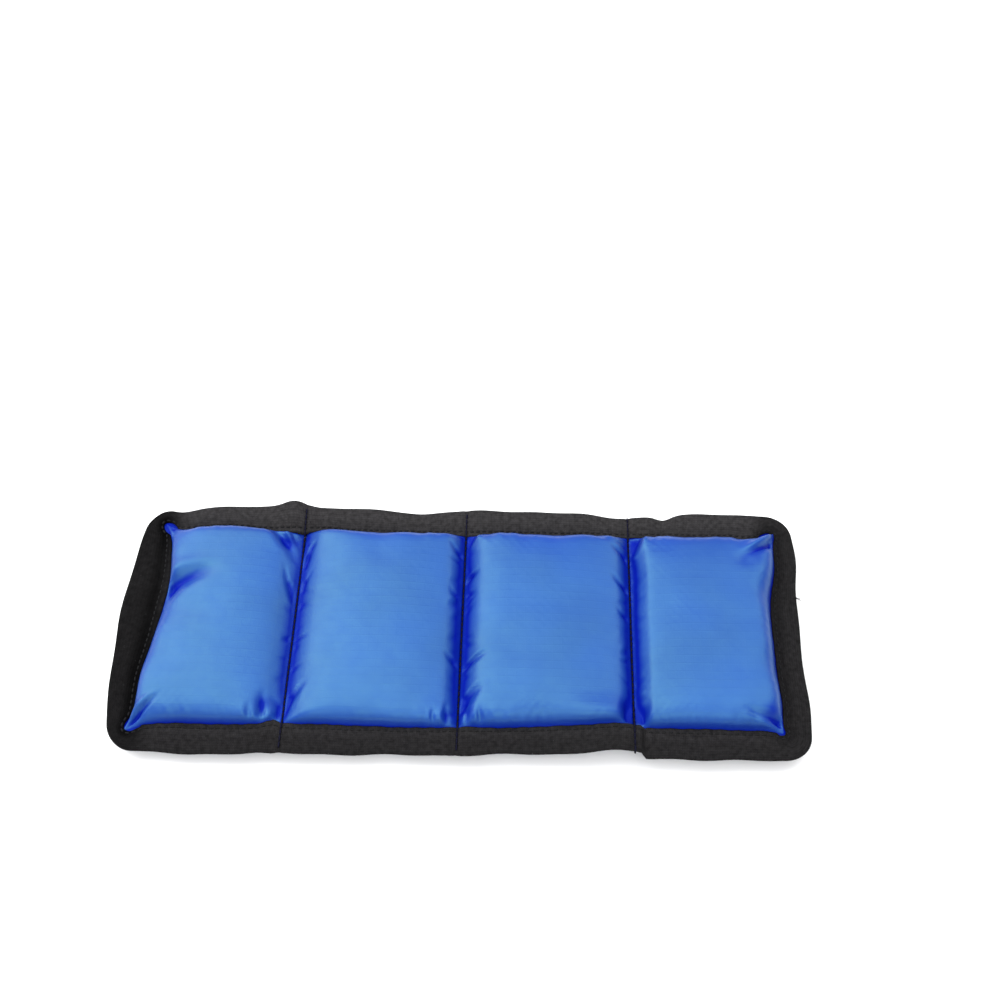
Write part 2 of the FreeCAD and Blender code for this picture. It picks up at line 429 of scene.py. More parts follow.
def group(name, inputs, outputs):
    """An empty shader group with named sockets, and its input and output nodes. A default of None makes a
    vector socket."""
    tree = bpy.data.node_groups.new(name, "ShaderNodeTree")
    for key, default in inputs.items():
        kind = "NodeSocketVector" if default is None else "NodeSocketFloat"
        socket = tree.interface.new_socket(name=key, in_out="INPUT", socket_type=kind)
        if default is not None:
            socket.default_value = default
    for key in outputs:
        tree.interface.new_socket(name=key, in_out="OUTPUT", socket_type="NodeSocketFloat")
    return tree, tree.nodes.new("NodeGroupInput").outputs, tree.nodes.new("NodeGroupOutput").inputs


def weave_group():
    """Plain weave: threads along U and V that pass over each other, as the product of two sine waves."""
    tree, given, result = group("cloth weave", {"Vector": None, "Pitch": 0.0006, "Stretch": 1.0}, ["Height"])
    split = node(tree, "ShaderNodeSeparateXYZ", {0: given["Vector"]})
    across = math_node(tree, "DIVIDE", split.outputs[0], given["Pitch"])
    along_pitch = math_node(tree, "MULTIPLY", given["Pitch"], given["Stretch"])
    along = math_node(tree, "DIVIDE", split.outputs[1], along_pitch)
    wave_u = math_node(tree, "SINE", math_node(tree, "MULTIPLY", across, math.pi))
    wave_v = math_node(tree, "SINE", math_node(tree, "MULTIPLY", along, math.pi))
    product = math_node(tree, "MULTIPLY", wave_u, wave_v)
    tree.links.new(math_node(tree, "ABSOLUTE", product), result["Height"])
    return tree


def ripstop_group():
    """Thicker reinforcing threads: thin lines at an even spacing along U and, fainter, along V."""
    tree, given, result = group("ripstop lines", {"Vector": None, "Spacing": 0.0045, "Width": 0.11}, ["Mask"])
    split = node(tree, "ShaderNodeSeparateXYZ", {0: given["Vector"]})
    lines = []
    for axis in (0, 1):
        place = math_node(tree, "FRACT", math_node(tree, "DIVIDE", split.outputs[axis], given["Spacing"]))
        away = math_node(tree, "ABSOLUTE", math_node(tree, "SUBTRACT", place, 0.5))
        near = math_node(tree, "DIVIDE", away, given["Width"])
        lines.append(math_node(tree, "SUBTRACT", 1.0, math_node(tree, "MINIMUM", near, 1.0)))
    faint = math_node(tree, "MULTIPLY", lines[0], 0.35)
    tree.links.new(math_node(tree, "MAXIMUM", faint, lines[1]), result["Mask"])
    return tree


def mottle_group():
    """Slow unevenness of a cloth: soft noise, stretched between 0 and 1."""
    tree, given, result = group("uneven cloth", {"Vector": None, "Scale": 30.0, "Detail": 2.0}, ["Factor"])
    inputs = {"Vector": given["Vector"], "Scale": given["Scale"], "Detail": given["Detail"], "Roughness": 0.5}
    noise = node(tree, "ShaderNodeTexNoise", inputs)
    spread = node(tree, "ShaderNodeMapRange", {"Value": noise.outputs[0], "From Min": 0.3, "From Max": 0.7})
    tree.links.new(spread.outputs[0], result["Factor"])
    return tree


def lint_group():
    """Lint and dust: sparse pale specks and short fibres where a stretched noise is high."""
    tree, given, result = group("lint", {"Vector": None, "Amount": 0.3}, ["Mask"])
    stretched = node(tree, "ShaderNodeMapping", {"Vector": given["Vector"], "Scale": (1.0, 0.35, 1.0)})
    inputs = {"Vector": stretched.outputs[0], "Scale": 900.0, "Detail": 3.0, "Roughness": 0.7}
    noise = node(tree, "ShaderNodeTexNoise", inputs)
    spots = node(tree, "ShaderNodeMapRange", {"Value": noise.outputs[0], "From Min": 0.66, "From Max": 0.76})
    tree.links.new(math_node(tree, "MULTIPLY", spots.outputs[0], given["Amount"]), result["Mask"])
    return tree


def shared_group(name, make):
    """A shader group, made the first time that it is asked for."""
    return bpy.data.node_groups.get(name) or make()


def use_group(tree, name, make, **inputs):
    """Places a shared group in a material."""
    placed = node(tree, "ShaderNodeGroup")
    placed.node_tree = shared_group(name, make)
    for key, value in inputs.items():
        socket = placed.inputs[key.replace("_", " ")]
        if isinstance(value, bpy.types.NodeSocket):
            tree.links.new(value, socket)
        else:
            socket.default_value = value
    return placed.outputs[0]


def mixed(tree, factor, first, second, blend="MIX"):
    """Two colours mixed by a factor."""
    made = node(tree, "ShaderNodeMix", data_type="RGBA", blend_type=blend)
    for socket, value in ((made.inputs[0], factor), (made.inputs[6], first), (made.inputs[7], second)):
        if isinstance(value, bpy.types.NodeSocket):
            tree.links.new(value, socket)
        else:
            socket.default_value = value
    return made.outputs[2]


def ranged(tree, value, low, high):
    """A factor from 0 to 1, moved to run from low to high."""
    return node(tree, "ShaderNodeMapRange", {"Value": value, "To Min": low, "To Max": high}).outputs[0]


def bumped(tree, layers):
    """Bump nodes in a row, one for each (height, distance in metres, strength)."""
    normal = None
    for height, distance, strength in layers:
        inputs = {"Height": height, "Distance": distance, "Strength": strength}
        if normal:
            inputs["Normal"] = normal
        normal = node(tree, "ShaderNodeBump", inputs).outputs[0]
    return normal


def start_material(name, **shader):
    """A material with a Principled BSDF whose plain sockets are set, its tree, shader and UV output."""
    material = bpy.data.materials.new(name)
    material.use_nodes = True
    tree = material.node_tree
    principled = tree.nodes["Principled BSDF"]
    for key, value in shader.items():
        principled.inputs[key.replace("_", " ")].default_value = value
    return material, tree, principled, node(tree, "ShaderNodeUVMap", uv_map="cloth").outputs[0]


def finish_material(tree, principled, colour, roughness, normal):
    """Links what varies over the surface to the shader."""
    tree.links.new(colour, principled.inputs["Base Color"])
    tree.links.new(roughness, principled.inputs["Roughness"])
    tree.links.new(normal, principled.inputs["Normal"])


def darker(colour, share):
    """A colour times a share, with its alpha kept."""
    return (*(channel * share for channel in colour[:3]), 1.0)


def nylon_material():
    """Coated nylon with a satin sheen: a fine weave, ripstop threads, soft crinkles, and painted shade that
    darkens its folds and grooves and dims their specular.
    """
    colours = settings()[1]
    material, tree, shader, uv = start_material("blue nylon")
    shader.inputs["Specular Tint"].default_value = (0.36, 0.96, 0.50, 1.0)
    weave = use_group(tree, "cloth weave", weave_group, Vector=uv, Pitch=0.00042)
    ripstop = use_group(tree, "ripstop lines", ripstop_group, Vector=uv, Spacing=0.0042)
    broad = use_group(tree, "uneven cloth", mottle_group, Vector=uv, Scale=28.0, Detail=1.0)
    crinkle = use_group(tree, "uneven cloth", mottle_group, Vector=uv, Scale=150.0, Detail=2.0)
    # Painted shade: the mesh's painted fold shade turns the cloth to its shaded colour and dims its specular
    # in folds, grooves and along the tape
    depth = node(tree, "ShaderNodeAttribute", attribute_name="fold_depth").outputs["Fac"]
    base = mixed(tree, broad, tuple(colours.nylon), darker(colours.nylon, 0.86))
    striped = mixed(tree, ranged(tree, ripstop, 0.0, 0.10), base, darker(colours.nylon, 0.62))
    colour = mixed(tree, depth, striped, tuple(colours.nylon_painted_shade))
    roughness = ranged(tree, crinkle, 0.38, 0.46)
    tree.links.new(ranged(tree, depth, 0.80, 0.08), shader.inputs["Specular IOR Level"])
    normal = bumped(tree, [(crinkle, 0.0010, 0.05), (ripstop, 0.00012, 0.25), (weave, 0.00006, 0.3)])
    finish_material(tree, shader, colour, roughness, normal)
    return material


def ribbed_material(name, colour, pitch, stretch, roughness, lint, sheen, bump):
    """Woven tape or webbing: ribs and weft at one pitch, uneven dye, a sheen, painted light where a piece
    carries it, and specks of lint.
    """
    material, tree, shader, uv = start_material(
        name, Specular_IOR_Level=0.012, Sheen_Weight=sheen, Sheen_Roughness=0.5
    )
    weave = use_group(tree, "cloth weave", weave_group, Vector=uv, Pitch=pitch, Stretch=stretch)
    uneven = use_group(tree, "uneven cloth", mottle_group, Vector=uv, Scale=60.0, Detail=5.0)
    grain = use_group(tree, "uneven cloth", mottle_group, Vector=uv, Scale=420.0, Detail=3.0)
    specks = use_group(tree, "lint", lint_group, Vector=uv, Amount=lint)
    # Painted light: a piece's painted light value mixes its colour towards one 21 times lighter; only the
    # tape carries it
    dust = node(tree, "ShaderNodeAttribute", attribute_name="dust").outputs["Fac"]
    dyed = mixed(tree, uneven, darker(colour, 0.35), darker(colour, 1.6))
    base = mixed(tree, dust, dyed, darker(colour, 21.0))
    grained = mixed(tree, ranged(tree, grain, 0.5, 0.0), base, darker(colour, 0.3))
    raised = mixed(tree, ranged(tree, weave, 0.35, 0.0), grained, darker(colour, 0.4))
    dusted = mixed(tree, specks, raised, (0.09, 0.09, 0.095, 1.0))
    normal = bumped(tree, [(uneven, 0.0014, 0.35), (grain, 0.0005, 0.5), (weave, bump, 0.8)])
    finish_material(tree, shader, dusted, ranged(tree, uneven, roughness - 0.06, roughness + 0.08), normal)
    return material


def thread_material(name, colour):
    """Twisted thread: slanting plies along the stitch, with a slight gloss."""
    material, tree, shader, uv = start_material(name, Specular_IOR_Level=0.05)
    split = node(tree, "ShaderNodeSeparateXYZ", {0: uv})
    slant = math_node(tree, "ADD", split.outputs[0], split.outputs[1])
    plies = math_node(tree, "SINE", math_node(tree, "MULTIPLY", slant, 7000.0))
    ply = ranged(tree, math_node(tree, "ABSOLUTE", plies), 0.0, 1.0)
    colour_out = mixed(tree, ply, darker(colour, 0.5), darker(colour, 1.5))
    normal = bumped(tree, [(ply, 0.0001, 0.6)])
    finish_material(tree, shader, colour_out, ranged(tree, ply, 0.62, 0.48), normal)
    return material


def granule_material():
    """Iron shot: dull grey grains, each a little lighter or darker, with rust on a few."""
    colours = settings()[1]
    material, tree, shader, uv = start_material("iron shot", Specular_IOR_Level=0.5, Metallic=0.6)
    cells = node(tree, "ShaderNodeTexVoronoi", {"Vector": uv, "Scale": 700.0})
    tone = node(tree, "ShaderNodeSeparateXYZ", {0: cells.outputs["Color"]}).outputs[0]
    grey = mixed(tree, tone, darker(colours.shot, 0.5), darker(colours.shot, 1.7))
    rusty = use_group(tree, "lint", lint_group, Vector=uv, Amount=0.8)
    colour = mixed(tree, rusty, grey, (0.20, 0.07, 0.03, 1.0))
    round_grain = math_node(tree, "SUBTRACT", 1.0, cells.outputs["Distance"])
    normal = bumped(tree, [(round_grain, 0.0008, 0.9)])
    finish_material(tree, shader, colour, ranged(tree, tone, 0.4, 0.7), normal)
    return material


MAKERS = {
    "blue nylon": nylon_material,
    "binding tape": lambda: ribbed_material(
        "binding tape", settings()[1].tape, 0.0008, 1.6, 0.60, 0.20, 0.0, 0.00022
    ),
    "strap webbing": lambda: ribbed_material(
        "strap webbing", settings()[1].strap, 0.0011, 0.55, 0.80, 0.30, 0.10, 0.0003
    ),
    "hook and loop": lambda: ribbed_material(
        "hook and loop", settings()[1].pile, 0.0009, 1.0, 0.62, 0.12, 0.08, 0.00015
    ),
    "liner cloth": lambda: ribbed_material(
        "liner cloth", settings()[1].liner, 0.0007, 1.0, 0.85, 0.05, 0.10, 0.0001
    ),
    "black thread": lambda: thread_material("black thread", settings()[1].thread),
    "seam thread": lambda: thread_material("seam thread", settings()[1].seam_thread),
    "iron shot": granule_material,
}


def finish_of(name):
    """The material of that name, made the first time that it is asked for."""
    return bpy.data.materials.get(name) or MAKERS[name]()


# ---- the line of the binding tape -----------------------------------------------------------------
def edge_corner(turn, count=44):
    """One corner of the cuff's edge, as outer and inner points: 4 mm straight, an arc, 4 mm straight.

    turn counts the quarter turns to the left so far. The inner points follow a much smaller arc."""
    way = np.array([[-1, 0], [0, -1], [1, 0], [0, 1]])[turn]
    left = np.array([-way[1], way[0]])
    sharp = np.array([[-END_X, SIDE_Y], [-END_X, -SIDE_Y], [END_X, -SIDE_Y], [END_X, SIDE_Y]])[turn]
    lead = TAPE_REACH + INNER_CORNER_RADIUS - CORNER_RADIUS
    run = np.linspace(0, 2 * lead + CORNER_RADIUS * math.pi / 2, count)
    angle = np.clip((run - lead) / CORNER_RADIUS, 0, math.pi / 2)[:, None]
    before = np.minimum(run - lead, 0)[:, None]
    after = np.maximum(run - lead - CORNER_RADIUS * math.pi / 2, 0)[:, None]
    centre = sharp + CORNER_RADIUS * (left - way)
    arc = CORNER_RADIUS * (way * np.sin(angle) - left * np.cos(angle))
    outer = centre + arc + before * way + after * left
    inner_angle = smooth(run / run[-1])[:, None] * math.pi / 2
    inner_centre = sharp + (TAPE_REACH + INNER_CORNER_RADIUS) * (left - way)
    inner = inner_centre + INNER_CORNER_RADIUS * (way * np.sin(inner_angle) - left * np.cos(inner_angle))
    return outer, inner


def edge_line():
    """The cuff's whole edge, counter-clockwise from the middle of the far side: distance along it, outer
    points and inner points."""
    outer, inner = [np.array([[0.0, SIDE_Y]])], [np.array([[0.0, SIDE_Y - TAPE_REACH]])]
    for turn in range(4):
        o, i = edge_corner(turn)
        outer.append(o)
        inner.append(i)
    outer.append(outer[0])
    inner.append(inner[0])
    outer, inner = np.concatenate(outer), np.concatenate(inner)
    along = np.concatenate([[0], np.cumsum(np.linalg.norm(np.diff(outer, axis=0), axis=1))])
    return along, outer, inner


EDGE_ALONG, EDGE_OUTER, EDGE_INNER = edge_line()
EDGE_LENGTH = EDGE_ALONG[-1]


def tape_set(x, y):
    """How the tape stands at a point of the edge: outer edge out, inner edge in, outer edge up and inner
    edge up.

    Each is a sum of bell curves round the places in TAPE_FEATURES, and one that ends sharply at the lap."""
    total = np.zeros((4, *np.shape(x)))
    for px, py, spread, *amounts in TAPE_FEATURES:
        bell = np.exp(-((x - px) ** 2 + (y - py) ** 2) / spread**2)
        total += np.array(amounts).reshape(4, *[1] * np.ndim(x)) * bell
    px, py, spread, *amounts = LAP_FEATURE
    bell = np.exp(-((x - px) ** 2 + (y - py) ** 2) / spread**2) * (1 - smooth((x - LAP_X) / LAP_RUN))
    total += np.array(amounts).reshape(4, *[1] * np.ndim(x)) * bell
    wander = 0.35 * np.sin(x / 9.1 + 1.7) + 0.25 * np.sin(x / 4.3 + y / 11.0) + 0.2 * np.sin(y / 6.7 + 0.6)
    total[0] += wander
    total[1] += 0.8 * wander * np.cos(x / 23.0)
    total[2] += 0.6 * np.sin(x / 17.0 + y / 13.0)
    return total


def tape_point(along, depth, height):
    """Points of the tape: along is the distance round the edge, depth how far in from the outer edge, and
    height above the cuff's middle plane. It is a straight line from the outer to the inner edge, with the
    crown, seam creases, gathers and stitch dimples added to the height."""
    outer = np.stack([np.interp(along, EDGE_ALONG, EDGE_OUTER[:, k]) for k in (0, 1)], -1)
    inner = np.stack([np.interp(along, EDGE_ALONG, EDGE_INNER[:, k]) for k in (0, 1)], -1)
    inwards = inner - outer
    inwards /= np.linalg.norm(inwards, axis=-1, keepdims=True)
    out, into, outer_up, inner_up = tape_set(outer[..., 0], outer[..., 1])
    outer = outer - inwards * out[..., None]
    inner = inner + inwards * into[..., None]
    share = depth / TAPE_REACH
    flat = outer + (inner - outer) * share[..., None]
    side = np.sign(height)
    crown = 0.55 * np.sin(np.pi * np.clip(share, 0, 1)) ** 1.5
    gather = 0.22 * share * np.sin(along / 1.35 + 1.3 * np.sin(along / 7.0))
    row = -0.30 * np.exp(-(((TAPE_REACH - TAPE_STITCH_IN - depth) / 0.8) ** 2))
    row = row * (0.6 + 0.4 * np.cos(2 * np.pi * along / STITCH_PITCH))
    crease = np.zeros_like(flat[..., 0])
    for seam in SEAM_X:
        crease -= 0.8 * np.exp(-(((flat[..., 0] - seam) / 1.1) ** 2)) * (abs(flat[..., 1]) > SIDE_Y / 2)
    for place in (SEAM_X[0] - 5.5, LAP_X + LAP_RUN):
        crease -= 0.8 * np.exp(-(((flat[..., 0] - place) / 0.9) ** 2)) * (flat[..., 1] < -SIDE_Y / 2)
    extra = side * (crown + row + np.maximum(crease, -0.9)) + gather
    tilted = outer_up + (inner_up - outer_up) * share
    z = SEAM_Z + tilted + height + extra * np.minimum(abs(height) / 0.6, 1)
    return np.concatenate([flat, z[..., None]], -1)


def tape_section():
    """The folded tape's cross-section as a closed loop of (depth, height): the outer skin over the edge, a
    round lip, and the inner skin back, one thickness inside it."""
    flat, level = np.linspace(TAPE_REACH, TAPE_HALF, FLAT_COLUMNS), np.ones(FLAT_COLUMNS)
    bend = np.linspace(math.pi / 2, -math.pi / 2, 9)[1:-1]
    inner_half = TAPE_HALF - TAPE_THICK
    skin_d = np.concatenate([flat, TAPE_HALF - TAPE_HALF * np.cos(bend), flat[::-1]])
    skin_h = TAPE_HALF * np.concatenate([level, np.sin(bend), -level])
    back_d = np.concatenate([flat, TAPE_HALF - inner_half * np.cos(bend), flat[::-1]])[::-1]
    back_h = inner_half * np.concatenate([level, np.sin(bend), -level])[::-1]
    lip_d = np.array([TAPE_REACH + 0.25])
    lip_h = np.array([(TAPE_HALF + inner_half) / 2])
    depth = np.concatenate([skin_d, lip_d, back_d, lip_d])
    height = np.concatenate([skin_h, -lip_h, back_h, lip_h])
    return depth, height


def tube_faces(rows, columns):
    """Faces of a closed tube: a grid whose columns wrap round, with its two ends left open."""
    ids = np.arange(rows * columns).reshape(rows, columns)
    return quads(np.concatenate([ids, ids[:, :1]], 1))


def tape_run(name, start, stop):
    """One run of binding tape between two distances round the edge, closed at both ends."""
    depth, height = tape_section()
    along = np.linspace(start, stop, int(abs(stop - start) / 1.1) + 1)
    grid_s, grid_d = np.meshgrid(along, depth, indexing="ij")
    points = tape_point(grid_s % EDGE_LENGTH, grid_d, np.broadcast_to(height, grid_d.shape))
    rows, columns = grid_d.shape
    faces = tube_faces(rows, columns)
    girth = np.concatenate([[0], np.cumsum(np.hypot(np.diff(depth), np.diff(height)))])
    girth = np.append(girth, girth[-1] + TAPE_THICK)
    uv = np.stack(np.meshgrid(along / 1000, girth / 1000, indexing="ij"), -1)
    half = columns // 2
    caps, cap_uvs = [], []
    for row in (0, rows - 1):
        pairs = np.stack([np.arange(half), columns - 2 - np.arange(half)], 1)
        ids = pairs + row * columns
        strip = quads(ids[:, :, None])[..., 0]
        caps.append(strip if row == 0 else strip[:, ::-1])
        cap_uvs.append(np.zeros((len(strip), 4, 2)) + along[row if row == 0 else -1] / 1000)
    faces = np.concatenate([faces, *caps])
    uvs = np.concatenate([quads(uv), *cap_uvs])
    made = put_mesh(name, points.reshape(-1, 3), faces[:, ::-1], uvs[:, ::-1], finish_of("binding tape"))
    sharpen(made, end_mask(rows, columns))
    # Painted light and shade on the tape: lighter on the far side, darkest at the left end
    add_values(made, "dust", tape_painted_light(points[..., 0], points[..., 1], grid_d / TAPE_REACH))
    return made


def tape_painted_light(x, y, share):
    """Painted light and shade on the tape, from 0 to 1 with 1 the lightest: a value for each side of the cuff
    on its outer and its inner half, mixed smoothly round the corners and from the outer to the inner half."""
    left, right = smooth((-x - END_X + 24) / 14), smooth((x - END_X + 24) / 14)
    ends = np.maximum(left, right)
    far = smooth((y + 30) / 60)
    halves = []
    for side in TAPE_PAINTED_LIGHT:
        along = side["near"] * (1 - far) + side["far"] * far
        at_end = (side["left"] * left + side["right"] * right) / np.maximum(left + right, 1e-6)
        halves.append(along * (1 - ends) + at_end * ends)
    inner = smooth((share - 0.4) / 0.4)
    return halves[0] * (1 - inner) + halves[1] * inner


def edge_at(x, far):
    """The distance round the edge to a point at x on the far or the near side."""
    if far:
        return (-x) % EDGE_LENGTH
    near = EDGE_OUTER[:, 1] < -SIDE_Y + 1e-6
    first = np.nonzero(near)[0][0]
    return EDGE_ALONG[first] + (x - EDGE_OUTER[first, 0])


def tape_runs():
    """The four runs of tape, as (name, start, stop, joint, first body, second body, CAD nodes). Each run
    crosses one fold on each side that it lies on, and they meet in the middle of the middle panels."""
    left = (SEAM_X[0] + SEAM_X[1]) / 2
    right = (SEAM_X[1] + SEAM_X[2]) / 2
    return (
        ("end_1", edge_at(left, True), edge_at(left, False), "panel_fold_1", "panel_1", "panel_2",
         ("binding_end_1", "binding_near_2", "binding_far_2"), ("binding_thread_1", "binding_thread_2")),
        ("near_middle", edge_at(left, False), edge_at(right, False), "panel_fold_2", "panel_2", "panel_3",
         ("binding_near_2", "binding_near_3"), ("binding_thread_2", "binding_thread_3")),
        ("end_4", edge_at(right, False), edge_at(right, True), "panel_fold_3", "panel_3", "panel_4",
         ("binding_end_4", "binding_near_3", "binding_far_3"), ("binding_thread_3", "binding_thread_4")),
        ("far_middle", edge_at(right, True) - EDGE_LENGTH, edge_at(left, True), "panel_fold_2", "panel_2",
         "panel_3", ("binding_far_2", "binding_far_3"), ("binding_thread_2", "binding_thread_3")),
    )


# ---- stitches ---------------------------------------------------------------------------------------
def stitch_shape(length, width, sides=6, rings=7):
    """One stitch as a closed capsule: rings whose radius follows a half ellipse, sunk at both ends."""
    t = np.linspace(-1, 1, rings)
    radius = width / 2 * np.sqrt(np.clip(1 - (np.abs(t) ** 4), 0.02, 1))
    turn = np.arange(sides) / sides * 2 * math.pi
    along = np.repeat((t * length / 2)[:, None], sides, 1)
    across = radius[:, None] * np.cos(turn)
    up = radius[:, None] * np.sin(turn) - 0.35 * width * (t**4)[:, None]
    points = np.stack([along, across, up], -1).reshape(-1, 3)
    ids = np.arange(rings * sides).reshape(rings, sides)
    faces = quads(np.concatenate([ids, ids[:, :1]], 1))
    first, last = ids[0][[[0, 1, 2, 3], [0, 3, 4, 5]]], ids[-1][[[3, 2, 1, 0], [5, 4, 3, 0]]]
    faces = np.concatenate([faces, first, last])
    uv = np.stack([points[:, 0], np.tile(turn, rings) * width / 2], -1) / 1000
    return points, faces, uv[faces]


def stitch_row(name, centres, ways, ups, length, material):
    """An object with a stitch at each centre, laid along its way with its top towards its up direction."""
    width = settings()[0].stitch_width * 1000
    shape, faces, uvs = stitch_shape(length, width)
    ways = ways / np.linalg.norm(ways, axis=1, keepdims=True)
    sides = np.cross(ups, ways)
    sides /= np.linalg.norm(sides, axis=1, keepdims=True)
    ups = np.cross(ways, sides)
    points = (
        centres[:, None]
        + shape[None, :, :1] * ways[:, None]
        + shape[None, :, 1:2] * sides[:, None]
        + shape[None, :, 2:] * ups[:, None]
    )
    all_faces = tile(len(centres), faces, len(shape))
    all_uvs = np.tile(uvs, (len(centres), 1, 1))
    made = put_mesh(name, points.reshape(-1, 3), all_faces, all_uvs, finish_of(material))
    return made


def path_stitches(path, ups):
    """Evenly spaced stitch centres and directions along a dense path, with their up directions."""
    run = np.concatenate([[0], np.cumsum(np.linalg.norm(np.diff(path, axis=0), axis=1))])
    count = max(int(run[-1] / STITCH_PITCH), 1)
    at = (np.arange(count) + 0.5) * run[-1] / count
    half = 0.5
    place = np.stack([np.interp(at, run, path[:, k]) for k in range(3)], -1)
    ahead = np.stack([np.interp(at + half, run, path[:, k]) for k in range(3)], -1)
    behind = np.stack([np.interp(at - half, run, path[:, k]) for k in range(3)], -1)
    up = np.stack([np.interp(at, run, ups[:, k]) for k in range(3)], -1)
    return place, ahead - behind, up


# ---- pockets ------------------------------------------------------------------------------------------
def inner_edges(x, y):
    """Where the tape's inner edge is: y on the far and the near side at x, and x on the left and the right
    at y."""
    far = SIDE_Y - TAPE_REACH - tape_set(x, np.full_like(x, SIDE_Y))[1]
    near = -(SIDE_Y - TAPE_REACH) + tape_set(x, np.full_like(x, -SIDE_Y))[1]
    left = -(END_X - TAPE_REACH) + tape_set(np.full_like(y, -END_X), y)[1]
    right = END_X - TAPE_REACH - tape_set(np.full_like(y, END_X), y)[1]
    return far, near, left, right


def inside_corner(x, y):
    """Draws points in towards the centres of the cuff's rounded corners, to stay under the tape there."""
    over = np.stack([np.abs(x) - (END_X - CORNER_RADIUS), np.abs(y) - (SIDE_Y - CORNER_RADIUS)])
    far_out = np.hypot(*np.maximum(over, 0))
    share = np.where(over.min(0) > 0, np.minimum(1, CORNER_COVER / np.maximum(far_out, 1e-6)), 1.0)
    moved = np.where(over > 0, over * share, over) - over
    return x + np.sign(x) * moved[0], y + np.sign(y) * moved[1]


def pocket_grid(panel, finer=1):
    """A pocket's flat cloth as two grids of x and y, its border height, and its distances to the borders.

    The grid is a rectangle pulled out on each side to the tape's inner edge, plus what the tape hides."""
    low = PANEL_ENDS[panel - 1] + (SEAM_GAP if panel > 1 else 0)
    high = PANEL_ENDS[panel] - (SEAM_GAP if panel < 4 else 0)
    count_x = int((high - low) / PAD_CELL) * finer + 1
    count_y = int(2 * (SIDE_Y - TAPE_REACH) / PAD_CELL) * finer + 1
    u, v = np.meshgrid(np.linspace(0, 1, count_x), np.linspace(0, 1, count_y), indexing="ij")
    x, y = low * (1 - u) + high * u, (2 * v - 1) * SIDE_Y
    for _ in range(3):
        far, near, left, right = inner_edges(x, y)
        from_x = left - PAD_HIDDEN if panel == 1 else low
        to_x = right + PAD_HIDDEN if panel == 4 else high
        x = from_x * (1 - u) + to_x * u
        y = (near - PAD_HIDDEN) * (1 - v) + (far + PAD_HIDDEN) * v
        x, y = inside_corner(x, y)
    far, near, left, right = inner_edges(x, y)
    to_left = x - left if panel == 1 else x - low
    to_right = right - x if panel == 4 else high - x
    gaps = np.stack([to_left, to_right, y - near, far - y])
    ups = [
        tape_set(np.full_like(x, -END_X), y)[3] * (panel == 1),
        tape_set(np.full_like(x, END_X), y)[3] * (panel == 4),
        tape_set(x, np.full_like(x, -SIDE_Y))[3],
        tape_set(x, np.full_like(x, SIDE_Y))[3],
    ]
    lift = sum(up * (1 - smooth(gap / 16)) for up, gap in zip(ups, gaps))
    from_seam = np.min([np.abs(x - seam) for seam in SEAM_X], axis=0)
    border = SEAM_Z + lift * smooth(from_seam / 7)
    return x, y, border, gaps


def pocket_start(panel):
    """The pocket's two skins before the cloth is let go: border plus or minus a pillow with sides that are
    quarter ellipses, flat between the tapes, and the mask of the points that the tape and thread hold."""
    x, y, border, gaps = pocket_grid(panel)
    sides = [np.sqrt(1 - (1 - np.clip(gap / 20, 0, 1)) ** 2) for gap in gaps]
    pillow = sides[0] * sides[1] * sides[2] * sides[3]
    held = (np.minimum(gaps[2], gaps[3]) < 0.2) | (np.minimum(gaps[0], gaps[1]) < 0.2)
    rng = np.random.default_rng(40 + panel)
    rough = rng.normal(0, 0.12, x.shape) * pillow
    thin = np.where(held, 0.3, 0.0)
    edge = border_mask(x.shape)
    thin[edge] = 0
    up, down = POCKET_PUFF
    top = np.stack([x, y, border + up * pillow + thin + rough], -1)
    low = np.stack([x, y, border - down * pillow - thin + rough], -1)
    return top, low, held, edge


def closed_skin(top, low, edge):
    """The points and faces of two skins that share their border."""
    ids = np.arange(top[..., 0].size).reshape(edge.shape)
    under = np.full(edge.shape, -1)
    under[edge] = ids[edge]
    inside = ~edge
    under[inside] = ids.size + np.arange(inside.sum())
    points = np.concatenate([top.reshape(-1, 3), low[inside]])
    return points, np.concatenate([quads(ids), quads(under)[:, ::-1]]), under


def let_go(points, faces, held, spare):
    """Lets the cloth take its own shape: Blender's cloth with pressure, no gravity and some spare length,
    with no point moving further than CLOTH_REACH. Returns the points."""
    mesh = bpy.data.meshes.new("loose cloth")
    mesh.from_pydata((points / 1000).tolist(), [], faces.tolist())
    loose = bpy.data.objects.new("loose_cloth", mesh)
    bpy.context.scene.collection.objects.link(loose)
    pinned = loose.vertex_groups.new(name="held")
    pinned.add(np.nonzero(held)[0].tolist(), 1.0, "REPLACE")
    cloth = loose.modifiers.new("cloth", "CLOTH")
    values = cloth.settings
    values.vertex_group_mass = "held"
    values.effector_weights.gravity = 0.0
    for key, value in CLOTH.items():
        setattr(values, key, value)
    values.shrink_min = -spare
    cloth.collision_settings.use_collision = False
    cloth.collision_settings.use_self_collision = False
    cloth.point_cache.frame_end = CLOTH_FRAMES
    for number in range(1, CLOTH_FRAMES + 1):
        bpy.context.scene.frame_set(number)
    settled = loose.evaluated_get(bpy.context.evaluated_depsgraph_get()).data
    moved = np.empty(len(points) * 3)
    settled.vertices.foreach_get("co", moved)
    moved = moved.reshape(-1, 3) * 1000 - points
    bpy.data.objects.remove(loose)
    bpy.data.meshes.remove(mesh)
    far = np.linalg.norm(moved, axis=1, keepdims=True)
    return points + moved * np.minimum(1, CLOTH_REACH / np.maximum(far, 1e-9))


